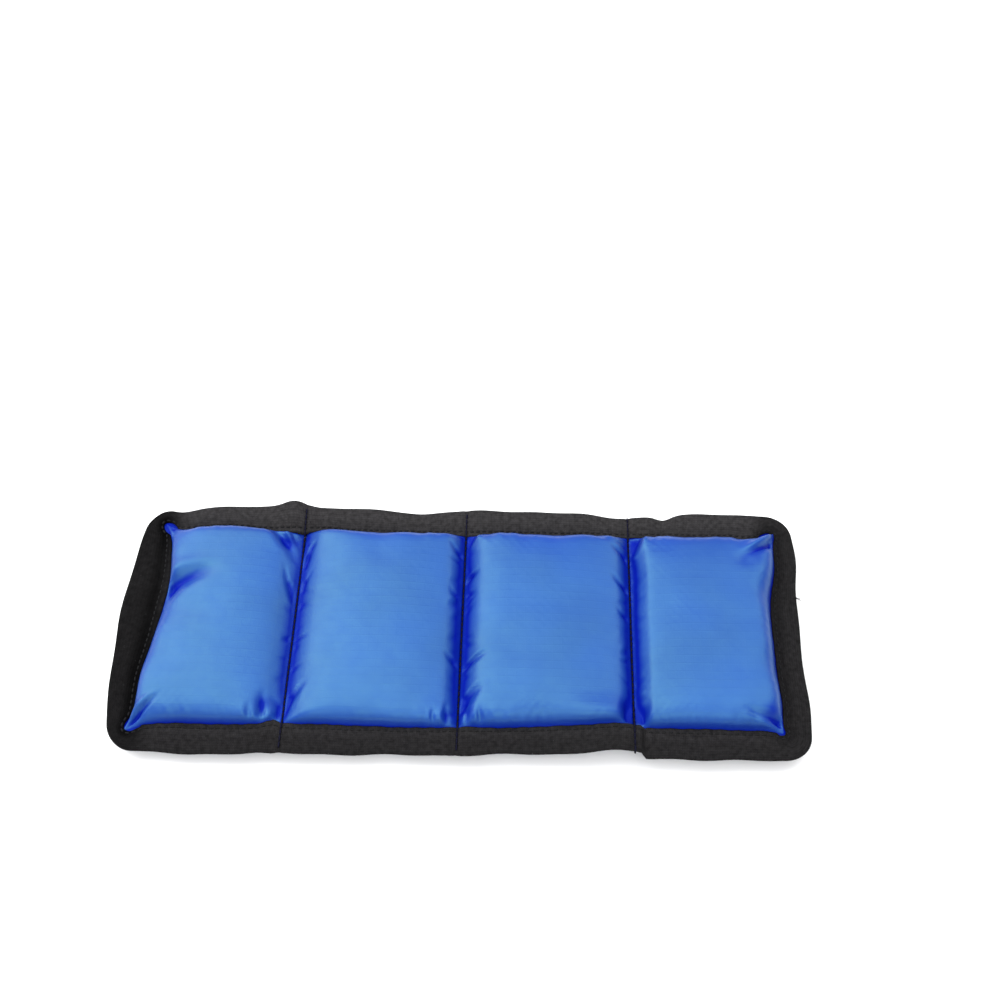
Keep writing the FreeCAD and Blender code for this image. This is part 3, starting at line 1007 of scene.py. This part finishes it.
def crease(x, y, start, end, width, ridge, valley):
    """A fold that fades from its start to its end: two bell curves across the line, one up on its left and
    one down on its right, on a line that is bowed a little."""
    start, end = np.array(start, float), np.array(end, float)
    length = np.linalg.norm(end - start)
    way = (end - start) / length
    t = ((x - start[0]) * way[0] + (y - start[1]) * way[1]) / length
    q = -(x - start[0]) * way[1] + (y - start[1]) * way[0]
    fade = smooth((t + 0.35) / 0.2) * (1 - smooth((t - 0.25) / 0.75))
    bowed = (q - 0.15 * length * t * (1 - t)) / (width * (1 - 0.3 * np.clip(t, 0, 1)))
    return fade * (ridge * np.exp(-((bowed - 0.7) ** 2)) - valley * np.exp(-((bowed + 0.7) ** 2)))


def puckers(x, y, depth):
    """Short gathers beside the stitch lines: each is a narrow valley with a low ridge on one side, that
    runs away from the line at a slant and fades after a few millimetres."""
    total = np.zeros_like(x)
    rng = np.random.default_rng(7)
    for seam, strengths in zip(SEAM_X, PUCKER_SHARES):
        for side, strength in zip((-1, 1), strengths):
            places = np.arange(-SIDE_Y + 20, SIDE_Y - 16, 7.5)
            for place in places + rng.uniform(-3, 3, len(places)):
                slant = math.radians(rng.uniform(15, 60)) * rng.choice([-1, 1])
                size, reach, width = rng.uniform(0.3, 1.2), rng.uniform(5, 11), rng.uniform(0.9, 1.7)
                along = (x - seam) * side * math.cos(slant) + (y - place) * math.sin(slant)
                across = (y - place) * math.cos(slant) - (x - seam) * side * math.sin(slant)
                fade = smooth(along / 1.5) * (1 - smooth((along / reach - 0.3) / 0.7))
                valley = np.exp(-((across / width) ** 2)) - 0.45 * np.exp(-((across / width - 1.9) ** 2))
                total -= depth * strength * size * fade * valley
    return total


def fold_room(x):
    """How high a pocket may stand at x so that its neighbour clears it when a seam is folded to its limit:
    the distance from the stitch line times the slope of half the remaining angle. And the height of the
    shelf beside each stitch line, from which the top rises gently. Each is a list with one entry a seam."""
    rooms, shelves = [], []
    for number, (seam, sides) in enumerate(zip(SEAM_X, SHELVES), start=1):
        limit = next(j for j in frame["joints"] if j["name"] == f"panel_fold_{number}")["range_deg"][1]
        slope = math.tan(math.radians(180 - limit) / 2) * 0.97
        away = np.abs(x - seam)
        rooms.append(np.maximum(away * slope, 0.02))
        shelves.append(np.where(x < seam, *sides) + 0.24 * away)
    return rooms, shelves


def side_curve(gap, width, outer, inner):
    """A pocket's side, 0 at the border and 1 from the width inwards: (1 - (1 - t)^outer)^inner."""
    return (1 - (1 - np.clip(gap / width, 0, 1)) ** outer) ** inner


def shape_top(panel, top, border, gaps, under_tape, edge):
    """Settles the leg side: the swell levels off at its full height, folds and gathers are added, and the
    cloth comes out from under the tape at a steep slope at most."""
    sizes = settings()[0]
    swell = sizes.swell * 1000
    x, y = top[..., 0], top[..., 1]
    height = np.maximum(top[..., 2] - border, 0)
    shoulder = SHOULDER_SHARE * swell
    widths = CROWN_WIDTHS[panel - 1]
    crown = np.prod([side_curve(gap, width, 2.0, 1.0) for gap, width in zip(gaps, widths)], axis=0)
    detail = height - blurred(height, 8.0)
    level = shoulder * np.tanh(2.8 * height / shoulder) + (swell - shoulder) * crown + 0.45 * detail
    for number, side, width in FACETS:
        if number == panel:
            level = level * side_curve(gaps[side], width, 1.35, 0.9)
    level = np.maximum(level, 0.01)
    inside = smooth(np.min(gaps, axis=0) / 3.0)
    worked = sum(crease(x, y, *fold) for fold in FOLDS)
    for px, py, spread, depth in DIMPLES:
        worked = worked - depth * np.exp(-((x - px) ** 2 + (y - py) ** 2) / spread**2)
    ripple = np.sin(x / 1.9 + 2.1 * np.sin(x / 6.3 + panel)) * (0.5 + 0.5 * np.sin(x / 11.0 + 2.0 * panel))
    at_tape = np.exp(-((gaps[2] / 5) ** 2)) + np.exp(-((gaps[3] / 5) ** 2))
    worked = worked + puckers(x, y, sizes.pucker * 1000) + 0.45 * ripple * at_tape
    rooms, shelves = fold_room(x)
    eased = sum(limit**-7.0 for limit in (level, *rooms, *shelves)) ** (-1 / 7)
    room = np.maximum(np.min(rooms, axis=0) + SEAM_Z - border, 0.01)
    height = np.minimum(np.maximum(eased + worked * inside, 0.3), room)
    rise = 0.4 + 4.6 * np.maximum(under_tape, 0)
    height = np.minimum(height, rise)
    most = swell + 0.35
    height = np.where(height > most - 1, most - np.exp(-(height - most + 1)), height)
    height[edge] = 0
    return np.stack([x, y, border + height], -1)


def shape_low(low, border, under_tape, edge):
    """Settles the outer side: it sags to what lies under it, the surface at the sides and the strap in the
    middle, as a smooth maximum of the two heights."""
    x, y = low[..., 0], low[..., 1]
    depth = np.maximum(border - low[..., 2], 0)
    depth = PAD_DEPTH * np.tanh(depth / PAD_DEPTH * 1.1)
    floor = 0.45 + (PAD_LOW + 0.05 - 0.45) * smooth((STRAP_HALF + 6.5 - np.abs(y)) / 5)
    z = border - depth
    eased = floor + np.logaddexp(0, (z - floor) * 2.5) / 2.5
    eased = np.where(np.abs(y) < STRAP_HALF + 2, np.maximum(eased, PAD_LOW + 0.05), eased)
    eased = np.clip(eased, border - 0.4 - 3.4 * np.maximum(under_tape, 0), border - 0.3)
    eased[edge] = border[edge]
    return np.stack([x, y, eased], -1)


POCKETS = {}


def between(count, finer):
    """The matrix that resamples a row of points to a finer one with a Catmull-Rom curve through them."""
    at = np.linspace(0, count - 1, (count - 1) * finer + 1)
    cell = np.minimum(at.astype(int), count - 2)
    t = at - cell
    weights = (
        (-t + 2 * t**2 - t**3) / 2,
        (2 - 5 * t**2 + 3 * t**3) / 2,
        (t + 4 * t**2 - 3 * t**3) / 2,
        (-(t**2) + t**3) / 2,
    )
    matrix = np.zeros((len(at), count + 2))
    for shift, weight in enumerate(weights):
        matrix[np.arange(len(at)), cell + shift] += weight
    inside = matrix[:, 1:-1].copy()
    inside[:, 0] += 2 * matrix[:, 0]
    inside[:, 1] -= matrix[:, 0]
    inside[:, -1] += 2 * matrix[:, -1]
    inside[:, -2] -= matrix[:, -1]
    return inside


def calmed(skin, held, times=6):
    """A skin with each free point moved to the mean of its four neighbours, several times over."""
    fixed = held | border_mask(held.shape)
    for _ in range(times):
        mean = skin.copy()
        mean[1:-1, 1:-1] = (skin[:-2, 1:-1] + skin[2:, 1:-1] + skin[1:-1, :-2] + skin[1:-1, 2:]) / 4
        skin = np.where(fixed[..., None], skin, mean)
    return skin


def refined(skin):
    """A skin resampled to a grid FINER times as close along both directions."""
    rows, columns = between(skin.shape[0], FINER), between(skin.shape[1], FINER)
    return np.einsum("ai,ijk,bj->abk", rows, skin, columns)


def sewn_pocket(panel):
    """A pocket's settled skins, as (top, low, border mask, gaps), kept for its bag and its filling."""
    if panel in POCKETS:
        return POCKETS[panel]
    top, low, held, edge = pocket_start(panel)
    points, faces, under = closed_skin(top, low, edge)
    fixed = np.zeros(len(points), bool)
    fixed[: held.size] = (held | edge).ravel()
    fixed[under[~edge]] = held[~edge]
    points = let_go(points, faces, fixed, settings()[0].spare_cloth)
    top, low = calmed(points[: held.size].reshape(top.shape), held), calmed(points[under], held)
    top, low = refined(top), refined(low)
    _, _, border, gaps = pocket_grid(panel, FINER)
    edge = border_mask(border.shape)
    under_tape = tape_gap(panel, gaps)
    from_x = PANEL_ENDS[panel - 1] + SEAM_KEEP if panel > 1 else -math.inf
    to_x = PANEL_ENDS[panel] - SEAM_KEEP if panel < 4 else math.inf
    for skin in (top, low):
        skin[..., 0] = np.where(edge, skin[..., 0], np.clip(skin[..., 0], from_x, to_x))
    top = shape_top(panel, top, border, gaps, under_tape, edge)
    low = shape_low(low, border, under_tape, edge)
    POCKETS[panel] = (top, low, edge, gaps)
    return POCKETS[panel]


def tape_gap(panel, gaps):
    """The distance to the nearest inner edge of the tape, below zero under it."""
    sides = [gaps[2], gaps[3]] + ([gaps[0]] if panel == 1 else []) + ([gaps[1]] if panel == 4 else [])
    return np.min(sides, axis=0)


def blurred(values, reach):
    """The values averaged over what is round them, with a bell curve of that reach in cells."""
    for axis in (0, 1):
        place = np.arange(values.shape[axis])
        near = np.exp(-(((place[:, None] - place[None]) / reach) ** 2))
        near /= near.sum(1, keepdims=True)
        values = np.tensordot(near, values, (1, axis))
        values = np.moveaxis(values, 0, axis)
    return values


def fold_depth(panel, top, gaps):
    """Painted shade for the nylon, from 0 to 1, by how deep in a fold each point lies: how far it is below
    the mean of what is round it, plus a bell curve of painted shade at each tuck, and 1 as a painted shadow
    in the groove of a stitch line and along the tape."""
    z = top[..., 2]
    narrow = np.clip((blurred(z, 5.0) - z - 0.12) / 0.8, 0, 1)
    wide = np.clip((blurred(z, 11.0) - z - 0.35) / 1.8, 0, 1)
    hollow = np.maximum(narrow, wide)
    seams = [gaps[k] for k, end in ((0, 1), (1, 4)) if panel != end]
    # Painted shadow: a dark line in the stitch lines' grooves and along the tape's inner edge
    groove = 1 - smooth((np.min(seams, axis=0) - 0.3) / 1.5)
    groove = np.maximum(groove, 1 - smooth((tape_gap(panel, gaps) - 0.2) / 0.9))
    x, y = top[..., 0], top[..., 1]
    tucked = sum(share * np.exp(-((x - px) ** 2 + (y - py) ** 2) / r**2) for px, py, r, share in PAINTED_TUCK_SHADE)
    hollow = np.clip(hollow * smooth(np.min(gaps, axis=0) / 2.0) + tucked, 0, 1)
    return np.maximum(hollow, groove)


def pad(panel):
    """One filled pocket: both nylon skins as a closed pillow."""
    top, low, edge, gaps = sewn_pocket(panel)
    points, faces, _ = closed_skin(top, low, edge)
    flat = pocket_grid(panel, FINER)
    uv_top = np.stack([flat[0], flat[1]], -1) / 1000
    uvs = np.concatenate([quads(uv_top), quads(uv_top)[:, ::-1]])
    cloth = finish_of("blue nylon")
    made = put_mesh(f"pad_{panel}", points, faces, uvs, cloth, f"panel_{panel}")
    # Painted shade in the leg side's folds and grooves; the outer side gets none
    depth = np.zeros(len(points))
    depth[: edge.size] = fold_depth(panel, top, gaps).ravel()
    add_values(made, "fold_depth", depth)
    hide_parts(f"leg_cover_{panel}", f"outer_cover_{panel}")
    return made


def filling(panel, name, shrink, cover, rough, material, node_name):
    """A bag or its contents: the pocket's skins, blurred, drawn in from its rim and moved in from the cloth
    by the thickness of the cover."""
    top, low, edge, _ = sewn_pocket(panel)
    u, v = np.meshgrid(np.linspace(-1, 1, edge.shape[0]), np.linspace(-1, 1, edge.shape[1]), indexing="ij")
    rim = (1 - np.abs(u) ** 8) * (1 - np.abs(v) ** 8)
    middle = np.array([(top[..., 0].min() + top[..., 0].max()) / 2, 0.0])
    bumps = rough * blurred(np.random.default_rng(90 + panel).uniform(-4, 4, edge.shape), 1.2)
    at_u, at_v = ((1 + np.linspace(-shrink, shrink, count)) / 2 * (count - 1) for count in edge.shape)
    skins = []
    for skin, side in ((top, 1), (low, -1)):
        flat = middle + (skin[..., :2] - middle) * shrink
        inner = blurred(skin[..., 2], 3.0)[at_u.round().astype(int)][:, at_v.round().astype(int)]
        thick = np.maximum((inner - SEAM_Z) * side - cover, 0.2)
        skins.append(np.concatenate([flat, (SEAM_Z + side * thick * rim + bumps * rim)[..., None]], -1))
    skins[1][edge] = skins[0][edge]
    points, faces, _ = closed_skin(skins[0], skins[1], edge)
    uv = skins[0][..., :2] / 1000
    uvs = np.concatenate([quads(uv), quads(uv)[:, ::-1]])
    made = put_mesh(name, points, faces, uvs, finish_of(material), f"panel_{panel}")
    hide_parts(node_name)
    return made


# ---- strap ----------------------------------------------------------------------------------------------
def webbing(name, path):
    """Flat webbing along a path of (x, z): a rounded cross-section that thins at its selvedges, carried
    square to the path. Both ends are closed."""
    path = np.asarray(path, float)
    way = np.gradient(path, axis=0)
    way /= np.linalg.norm(way, axis=1, keepdims=True)
    up = np.stack([way[:, 1], -way[:, 0]], -1) * np.sign(-way[0, 0] or 1)
    wide = np.linspace(-1, 1, STRAP_COLUMNS)
    half = STRAP_THICK / 2 * (1 - 0.10 * np.exp(-(((1 - np.abs(wide)) / 0.09) ** 2)))
    half = half * np.where(np.abs(wide) > 0.999, 0.45, 1.0)
    across = np.concatenate([wide, wide[::-1]]) * STRAP_HALF
    height = np.concatenate([half, -half[::-1]])
    run = np.concatenate([[0], np.cumsum(np.linalg.norm(np.diff(path, axis=0), axis=1))])
    wander = 0.18 * np.sin(run / 9.0)[:, None] * (np.abs(across) / STRAP_HALF)[None] ** 6 * np.sign(across)
    x = path[:, :1] + up[:, :1] * height
    z = path[:, 1:] + up[:, 1:] * height
    y = across[None] + wander
    points = np.stack([x, y, z], -1)
    rows, columns = x.shape
    faces = tube_faces(rows, columns)
    upper, under = across[:STRAP_COLUMNS], across[STRAP_COLUMNS:]
    girth = np.concatenate([upper + STRAP_HALF, 3 * STRAP_HALF - under, [4 * STRAP_HALF]])
    uv = np.stack(np.meshgrid(run / 1000, girth / 1000, indexing="ij"), -1)
    ends, end_uvs = [], []
    for row in (0, rows - 1):
        across_end = np.arange(STRAP_COLUMNS)
        pairs = np.stack([across_end, columns - 1 - across_end], 1) + row * columns
        strip = quads(pairs[:, :, None])[..., 0]
        ends.append(strip if row == 0 else strip[:, ::-1])
        end_uvs.append(np.zeros((len(strip), 4, 2)) + run[row if row == 0 else -1] / 1000)
    faces = np.concatenate([faces, *ends])
    uvs = np.concatenate([quads(uv), *end_uvs])
    made = put_mesh(name, points.reshape(-1, 3), faces, uvs, finish_of("strap webbing"))
    recalculate(made)
    sharpen(made, end_mask(rows, columns))
    return made


def recalculate(piece):
    """Turns every face of a closed mesh outwards."""
    work = bmesh.new()
    work.from_mesh(piece.data)
    bmesh.ops.recalc_face_normals(work, faces=work.faces)
    work.to_mesh(piece.data)
    work.free()


def straight(x0, x1, z, step=1.5):
    """A level path of (x, z) from x0 to x1."""
    x = np.linspace(x0, x1, max(int(abs(x1 - x0) / step), 2) + 1)
    return np.stack([x, np.full_like(x, z)], -1)


def strap_levels():
    """The heights of the sewn and of the loose run of the strap, and the fold's place."""
    sewn = corners("strap_anchor")
    loose = corners("strap_tail_1")
    return (sewn[0][2] + sewn[1][2]) / 2, (loose[0][2] + loose[1][2]) / 2, HINGES["strap_fold"]


def strap_pieces():
    """The strap as five pieces: the sewn run, the hairpin at its fold, and three straight runs that each
    cross one joint and meet midway between joints."""
    sewn_z, loose_z, fold = strap_levels()
    bends = [HINGES[f"strap_bend_{k}"][0] for k in (1, 2, 3)]
    middles = [(bends[0] + bends[1]) / 2, (bends[1] + bends[2]) / 2]
    radius = (sewn_z - loose_z) / 2
    angle = np.linspace(math.pi / 2, -math.pi / 2, 25)
    bend = np.stack([fold[0] + radius * np.cos(angle), fold[2] + radius * np.sin(angle)], -1)
    start_x = corners("strap_anchor")[0][0]
    end_x = corners("strap_tail_3")[0][0]
    root = webbing("strap_root", straight(start_x, fold[0], sewn_z))
    hairpin = webbing("strap_hairpin", bend)
    turn = webbing("strap_turn", straight(fold[0], middles[0], loose_z))
    wrap = webbing("strap_wrap", straight(middles[0], middles[1], loose_z))
    tip = webbing("strap_tip", straight(middles[1], end_x, loose_z))
    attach(root, "panel_4")
    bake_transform(hairpin)
    for piece, number, first, second, zone in (
        (turn, 1, "strap_link", "strap_tail_1", 8.0),
        (wrap, 2, "strap_tail_1", "strap_tail_2", 12.0),
        (tip, 3, "strap_tail_2", "strap_tail_3", 12.0),
    ):
        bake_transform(piece)
    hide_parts("strap_anchor")
    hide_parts("strap_link")
    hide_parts("strap_link", "strap_tail_1")
    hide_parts("strap_tail_1", "strap_tail_2")
    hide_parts("strap_tail_2", "strap_tail_3")


def loose_thread():
    """A tuft of thread ends that stands out from the tape's right-hand edge."""
    shape, faces, uvs = bent_fibre((0.2, 2.3), 1.9, 0.32)
    turns = np.array([-1.1, -0.3, 0.5, 1.4, 2.6])[:, None]
    x = END_X - 0.2 + shape[:, 0] * np.cos(turns)
    y = TUFT_Y + shape[:, 0] * np.sin(turns) + shape[:, 1]
    z = SEAM_Z + 0.2 + np.broadcast_to(shape[:, 2], x.shape)
    points = np.stack([x, y, z], -1).reshape(-1, 3)
    all_faces, all_uvs = tile(len(turns), faces, len(shape)), np.tile(uvs, (len(turns), 1, 1))
    thread = finish_of("black thread")
    return put_mesh("loose_thread", points, all_faces, all_uvs, thread, "panel_4")


def slab(low, high, step):
    """A closed slab with rounded edges, as points, faces and UVs: two level grids that share a rim."""
    x, y = np.meshgrid(
        np.linspace(low[0], high[0], int((high[0] - low[0]) / step) + 2),
        np.linspace(low[1], high[1], int((high[1] - low[1]) / step) + 2),
        indexing="ij",
    )
    edge = border_mask(x.shape)
    top = np.stack([x, y, np.where(edge, (low[2] + high[2]) / 2, high[2])], -1)
    under = np.stack([x, y, np.where(edge, (low[2] + high[2]) / 2, low[2])], -1)
    points, faces, _ = closed_skin(top, under, edge)
    uv = np.stack([x, y], -1) / 1000
    return points, faces, np.concatenate([quads(uv), quads(uv)[:, ::-1]])


def bent_fibre(arc, radius, width, sides=3):
    """A fibre bent in an arc in its own X-Z plane, as a thin closed tube: points, faces and UVs."""
    t = np.linspace(0, 1, 7)
    angle = arc[0] + (arc[1] - arc[0]) * t
    centre = np.stack([radius * np.cos(angle), np.zeros_like(t), radius * np.sin(angle)], -1)
    outward = centre / radius
    turn = np.arange(sides) / sides * 2 * math.pi
    points = (
        centre[:, None]
        + width / 2 * np.cos(turn)[None, :, None] * outward[:, None]
        + width / 2 * np.sin(turn)[None, :, None] * np.array([0, 1.0, 0])
    )
    ids = np.arange(len(t) * sides).reshape(len(t), sides)
    faces = quads(np.concatenate([ids, ids[:, :1]], 1))
    points = points.reshape(-1, 3)
    uv = np.stack([points[:, 0], points[:, 2]], -1) / 1000
    return points, faces, uv[faces]


def pile_patch(name, node_name, body, fibre, spacing, base_share, jitter, random_turn):
    """A patch of hook or loop tape that faces down: a woven base, and a field of bent fibres under it."""
    low, high = corners(node_name)
    base_low = low.copy()
    base_low[2] = high[2] - (high[2] - low[2]) * base_share
    points, faces, uvs = slab(base_low, high, 2.0)
    rng = np.random.default_rng(17)
    inset = 1.6
    x, y = np.meshgrid(*(np.arange(low[k] + inset, high[k] - inset, spacing) for k in (0, 1)))
    place = np.stack([x.ravel(), y.ravel()], -1) + rng.uniform(-jitter, jitter, (x.size, 2))
    turn = rng.uniform(0, 2 * math.pi, x.size) if random_turn else (np.arange(x.size) % 2) * math.pi
    shape, shape_faces, shape_uvs = fibre
    size = rng.uniform(0.85, 1.0, x.size)
    cos, sin = np.cos(turn)[:, None], np.sin(turn)[:, None]
    fx = (shape[:, 0] * cos - shape[:, 1] * sin) * size[:, None] + place[:, :1]
    fy = (shape[:, 0] * sin + shape[:, 1] * cos) * size[:, None] + place[:, 1:]
    fz = base_low[2] - shape[:, 2] * size[:, None] + np.zeros_like(fx)
    fibres = np.stack([fx, fy, fz], -1).reshape(-1, 3)
    all_points = np.concatenate([points, fibres])
    all_faces = np.concatenate([faces, tile(x.size, shape_faces, len(shape)) + len(points)])
    all_uvs = np.concatenate([uvs, np.tile(shape_uvs, (x.size, 1, 1))])
    made = put_mesh(name, all_points, all_faces, all_uvs, finish_of("hook and loop"), body)
    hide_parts(node_name)
    return made


def box_stitching(name, node_name, body, down, cross):
    """Rows of stitches round a CAD node's box and, with cross, along its diagonals."""
    low, high = corners(node_name)
    z = low[2] if down else high[2]
    a, b, c, d = (low[0], low[1]), (high[0], low[1]), (high[0], high[1]), (low[0], high[1])
    lines = [(a, b), (b, c), (c, d), (d, a)] + ([(a, c), (b, d)] if cross else [])
    centres, ways = [], []
    up = np.array([0, 0, -1.0 if down else 1.0])
    for start, end in lines:
        path = np.linspace((*start, z), (*end, z), 20)
        place, way, _ = path_stitches(path, np.tile(up, (20, 1)))
        centres.append(place)
        ways.append(way)
    centres, ways = np.concatenate(centres), np.concatenate(ways)
    ups = np.tile(up, (len(centres), 1))
    made = stitch_row(name, centres, ways, ups, STRAP_STITCH, "black thread")
    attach(made, body)
    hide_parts(node_name)
    return made


# ---- operators ------------------------------------------------------------------------------------
class CUFF_OT_stage(bpy.types.Operator):
    """Makes the pale floor, the soft lights and the camera."""

    bl_idname = "cuff.stage"
    bl_label = "Stage"

    def execute(self, context):
        scene = context.scene
        material, _, shader, _ = start_material("pale floor", Roughness=0.9, Specular_IOR_Level=0.1)
        shader.inputs["Base Color"].default_value = FLOOR_COLOUR
        mesh = bpy.data.meshes.new("floor")
        square = np.array([(-1, -1, 0), (1, -1, 0), (1, 1, 0), (-1, 1, 0)]) * FLOOR_HALF
        mesh.from_pydata(square.tolist(), [], [(0, 1, 2, 3)])
        mesh.materials.append(material)
        floor = bpy.data.objects.new("floor", mesh)
        scene.collection.objects.link(floor)
        world = bpy.data.worlds.new("studio")
        world.use_nodes = True
        background = world.node_tree.nodes["Background"]
        background.inputs[0].default_value = WORLD_COLOUR
        background.inputs[1].default_value = WORLD_STRENGTH
        scene.world = world
        for lamp in LIGHTS:
            self.light(*lamp)
        camera_data = bpy.data.cameras.new("camera")
        camera_data.sensor_width = 36.0
        camera_data.lens = 50.0
        camera_data.clip_start = 0.01
        camera = bpy.data.objects.new("camera", camera_data)
        scene.collection.objects.link(camera)
        turn, rise, roll = (math.radians(angle) for angle in CAMERA_ANGLES)
        flat = math.cos(rise)
        away = Vector((math.sin(turn) * flat, -math.cos(turn) * flat, math.sin(rise)))
        camera.location = Vector(CAMERA_TARGET) + away * CAMERA_AWAY
        camera.rotation_mode = "QUATERNION"
        rolled = Matrix.Rotation(roll, 3, "Z").to_quaternion()
        camera.rotation_quaternion = (-away).to_track_quat("-Z", "Y") @ rolled
        scene.camera = camera
        scene.view_settings.view_transform = "Standard"
        return {"FINISHED"}

    def light(self, name, place, size, power):
        """A rectangular soft light that faces the cuff."""
        data = bpy.data.lights.new(name, "AREA")
        data.shape = "RECTANGLE"
        data.size, data.size_y = size
        data.energy = power
        lamp = bpy.data.objects.new(name, data)
        lamp.location = place
        lamp.rotation_mode = "QUATERNION"
        lamp.rotation_quaternion = Vector(place).to_track_quat("Z", "Y")
        bpy.context.scene.collection.objects.link(lamp)


class CUFF_OT_pads(bpy.types.Operator):
    """Makes the four filled pockets."""

    bl_idname = "cuff.pads"
    bl_label = "Pockets"

    def execute(self, context):
        for panel in range(1, 5):
            pad(panel)
        return {"FINISHED"}


class CUFF_OT_filling(bpy.types.Operator):
    """Makes the inner bags and the iron shot in them."""

    bl_idname = "cuff.filling"
    bl_label = "Bags and shot"

    def execute(self, context):
        for panel in range(1, 5):
            bag, shot = f"shot_bag_{panel}", f"iron_shot_{panel}"
            filling(panel, f"bag_{panel}", 0.90, 1.6, 0.05, "liner cloth", bag)
            filling(panel, f"shot_{panel}", 0.86, 2.4, 0.30, "iron shot", shot)
        return {"FINISHED"}


class CUFF_OT_binding(bpy.types.Operator):
    """Makes the folded tape round the edge and the stitches along it."""

    bl_idname = "cuff.binding"
    bl_label = "Binding"

    def execute(self, context):
        for name, start, stop, joint, first, second, tapes, threads in tape_runs():
            run = tape_run(f"tape_{name}", start, stop)
            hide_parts(*tapes)
            bend_over(run)
            rows = self.rows(f"tape_stitches_{name}", start, stop)
            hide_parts(*threads)
            bend_over(rows)
        return {"FINISHED"}

    def rows(self, name, start, stop):
        """The stitches of one run of tape, on the leg side and on the outer side."""
        along = np.linspace(start, stop, int(abs(stop - start)) + 1)
        depth = np.full_like(along, TAPE_REACH - TAPE_STITCH_IN)
        centres, ways, ups = [], [], []
        for side in (1.0, -1.0):
            path = tape_point(along % EDGE_LENGTH, depth, np.full_like(along, side * (TAPE_HALF + 0.05)))
            up = np.tile([0, 0, side], (len(path), 1))
            for kept, found in zip((centres, ways, ups), path_stitches(path, up)):
                kept.append(found)
        centres, ways, ups = (np.concatenate(part) for part in (centres, ways, ups))
        return stitch_row(name, centres, ways, ups, TAPE_STITCH, "black thread")


class CUFF_OT_seams(bpy.types.Operator):
    """Makes the rows of stitches between the pockets."""

    bl_idname = "cuff.seams"
    bl_label = "Pocket seams"

    def execute(self, context):
        for number, seam in enumerate(SEAM_X, start=1):
            y = np.linspace(-SIDE_Y + 2, SIDE_Y - 2, 140)
            centres, ways, ups = [], [], []
            for side in (1.0, -1.0):
                path = np.stack([np.full_like(y, seam), y, self.height(seam, y, side)], -1)
                up = np.tile([0, 0, side], (len(y), 1))
                for kept, found in zip((centres, ways, ups), path_stitches(path, up)):
                    kept.append(found)
            centres, ways, ups = (np.concatenate(part) for part in (centres, ways, ups))
            name = f"seam_stitches_{number}"
            row = stitch_row(name, centres, ways, ups, SEAM_STITCH, "seam thread")
            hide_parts(f"pocket_stitch_{number}")
            bend_over(row)
        loose_thread()
        return {"FINISHED"}

    def height(self, seam, y, side):
        """Where the thread lies: on the cloth between the tapes, and over the tape at both ends."""
        x = np.full_like(y, seam)
        far, near, _, _ = inner_edges(x, y)
        on_tape = smooth((np.maximum(y - far, near - y) + 1.5) / 2.0)
        sets = tape_set(x, np.where(y > 0, SIDE_Y, -SIDE_Y))
        depth = np.clip((SIDE_Y - np.abs(y)) / TAPE_REACH, 0, 1)
        tape_z = sets[2] * (1 - depth) + sets[3] * depth + side * (TAPE_HALF + 0.25)
        cloth_z = side * 0.35 + sets[3] * (1 - smooth((SIDE_Y - TAPE_REACH - np.abs(y)) / 16))
        return SEAM_Z + cloth_z * (1 - on_tape) + tape_z * on_tape


class CUFF_OT_strap(bpy.types.Operator):
    """Makes the strap, its hook and loop patches and their stitching."""

    bl_idname = "cuff.strap"
    bl_label = "Strap"

    def execute(self, context):
        strap_pieces()
        hook = bent_fibre((math.pi, -0.25 * math.pi), 0.22, 0.13)
        loop = bent_fibre((math.pi, 0.0), 0.42, 0.10)
        pile_patch("hook_pile", "hook_patch", "strap_tail_3", hook, 1.35, 0.62, 0.05, False)
        pile_patch("loop_pile", "loop_patch", "panel_3", loop, 1.25, 0.60, 0.5, True)
        box_stitching("anchor_rows", "anchor_stitch", "panel_4", True, True)
        box_stitching("hook_rows", "hook_stitch", "strap_tail_3", False, False)
        box_stitching("loop_rows", "loop_stitch", "panel_3", True, False)
        return {"FINISHED"}


class CUFF_PT_panel(bpy.types.Panel):
    """The cuff's buttons in the sidebar."""

    bl_label = "Ankle cuff weight"
    bl_idname = "CUFF_PT_panel"
    bl_space_type = "VIEW_3D"
    bl_region_type = "UI"
    bl_category = "Cuff"

    def draw(self, context):
        sizes, colours = settings()
        for held in (sizes, colours):
            for key in held.__annotations__:
                self.layout.prop(held, key)
        for operator in OPERATORS:
            self.layout.operator(operator.bl_idname)


OPERATORS = (CUFF_OT_stage, CUFF_OT_pads, CUFF_OT_filling, CUFF_OT_binding, CUFF_OT_seams, CUFF_OT_strap)
CLASSES = (CuffSizes, CuffColours, *OPERATORS, CUFF_PT_panel)


def register():
    for made in CLASSES:
        bpy.utils.register_class(made)
    bpy.types.Scene.cuff_sizes = bpy.props.PointerProperty(type=CuffSizes)
    bpy.types.Scene.cuff_colours = bpy.props.PointerProperty(type=CuffColours)


def unregister():
    del bpy.types.Scene.cuff_colours
    del bpy.types.Scene.cuff_sizes
    for made in reversed(CLASSES):
        bpy.utils.unregister_class(made)


def main():
    register()
    bpy.ops.cuff.stage()
    bpy.ops.cuff.pads()
    bpy.ops.cuff.filling()
    bpy.ops.cuff.binding()
    bpy.ops.cuff.seams()
    bpy.ops.cuff.strap()


if __name__ == "__main__":
    main()
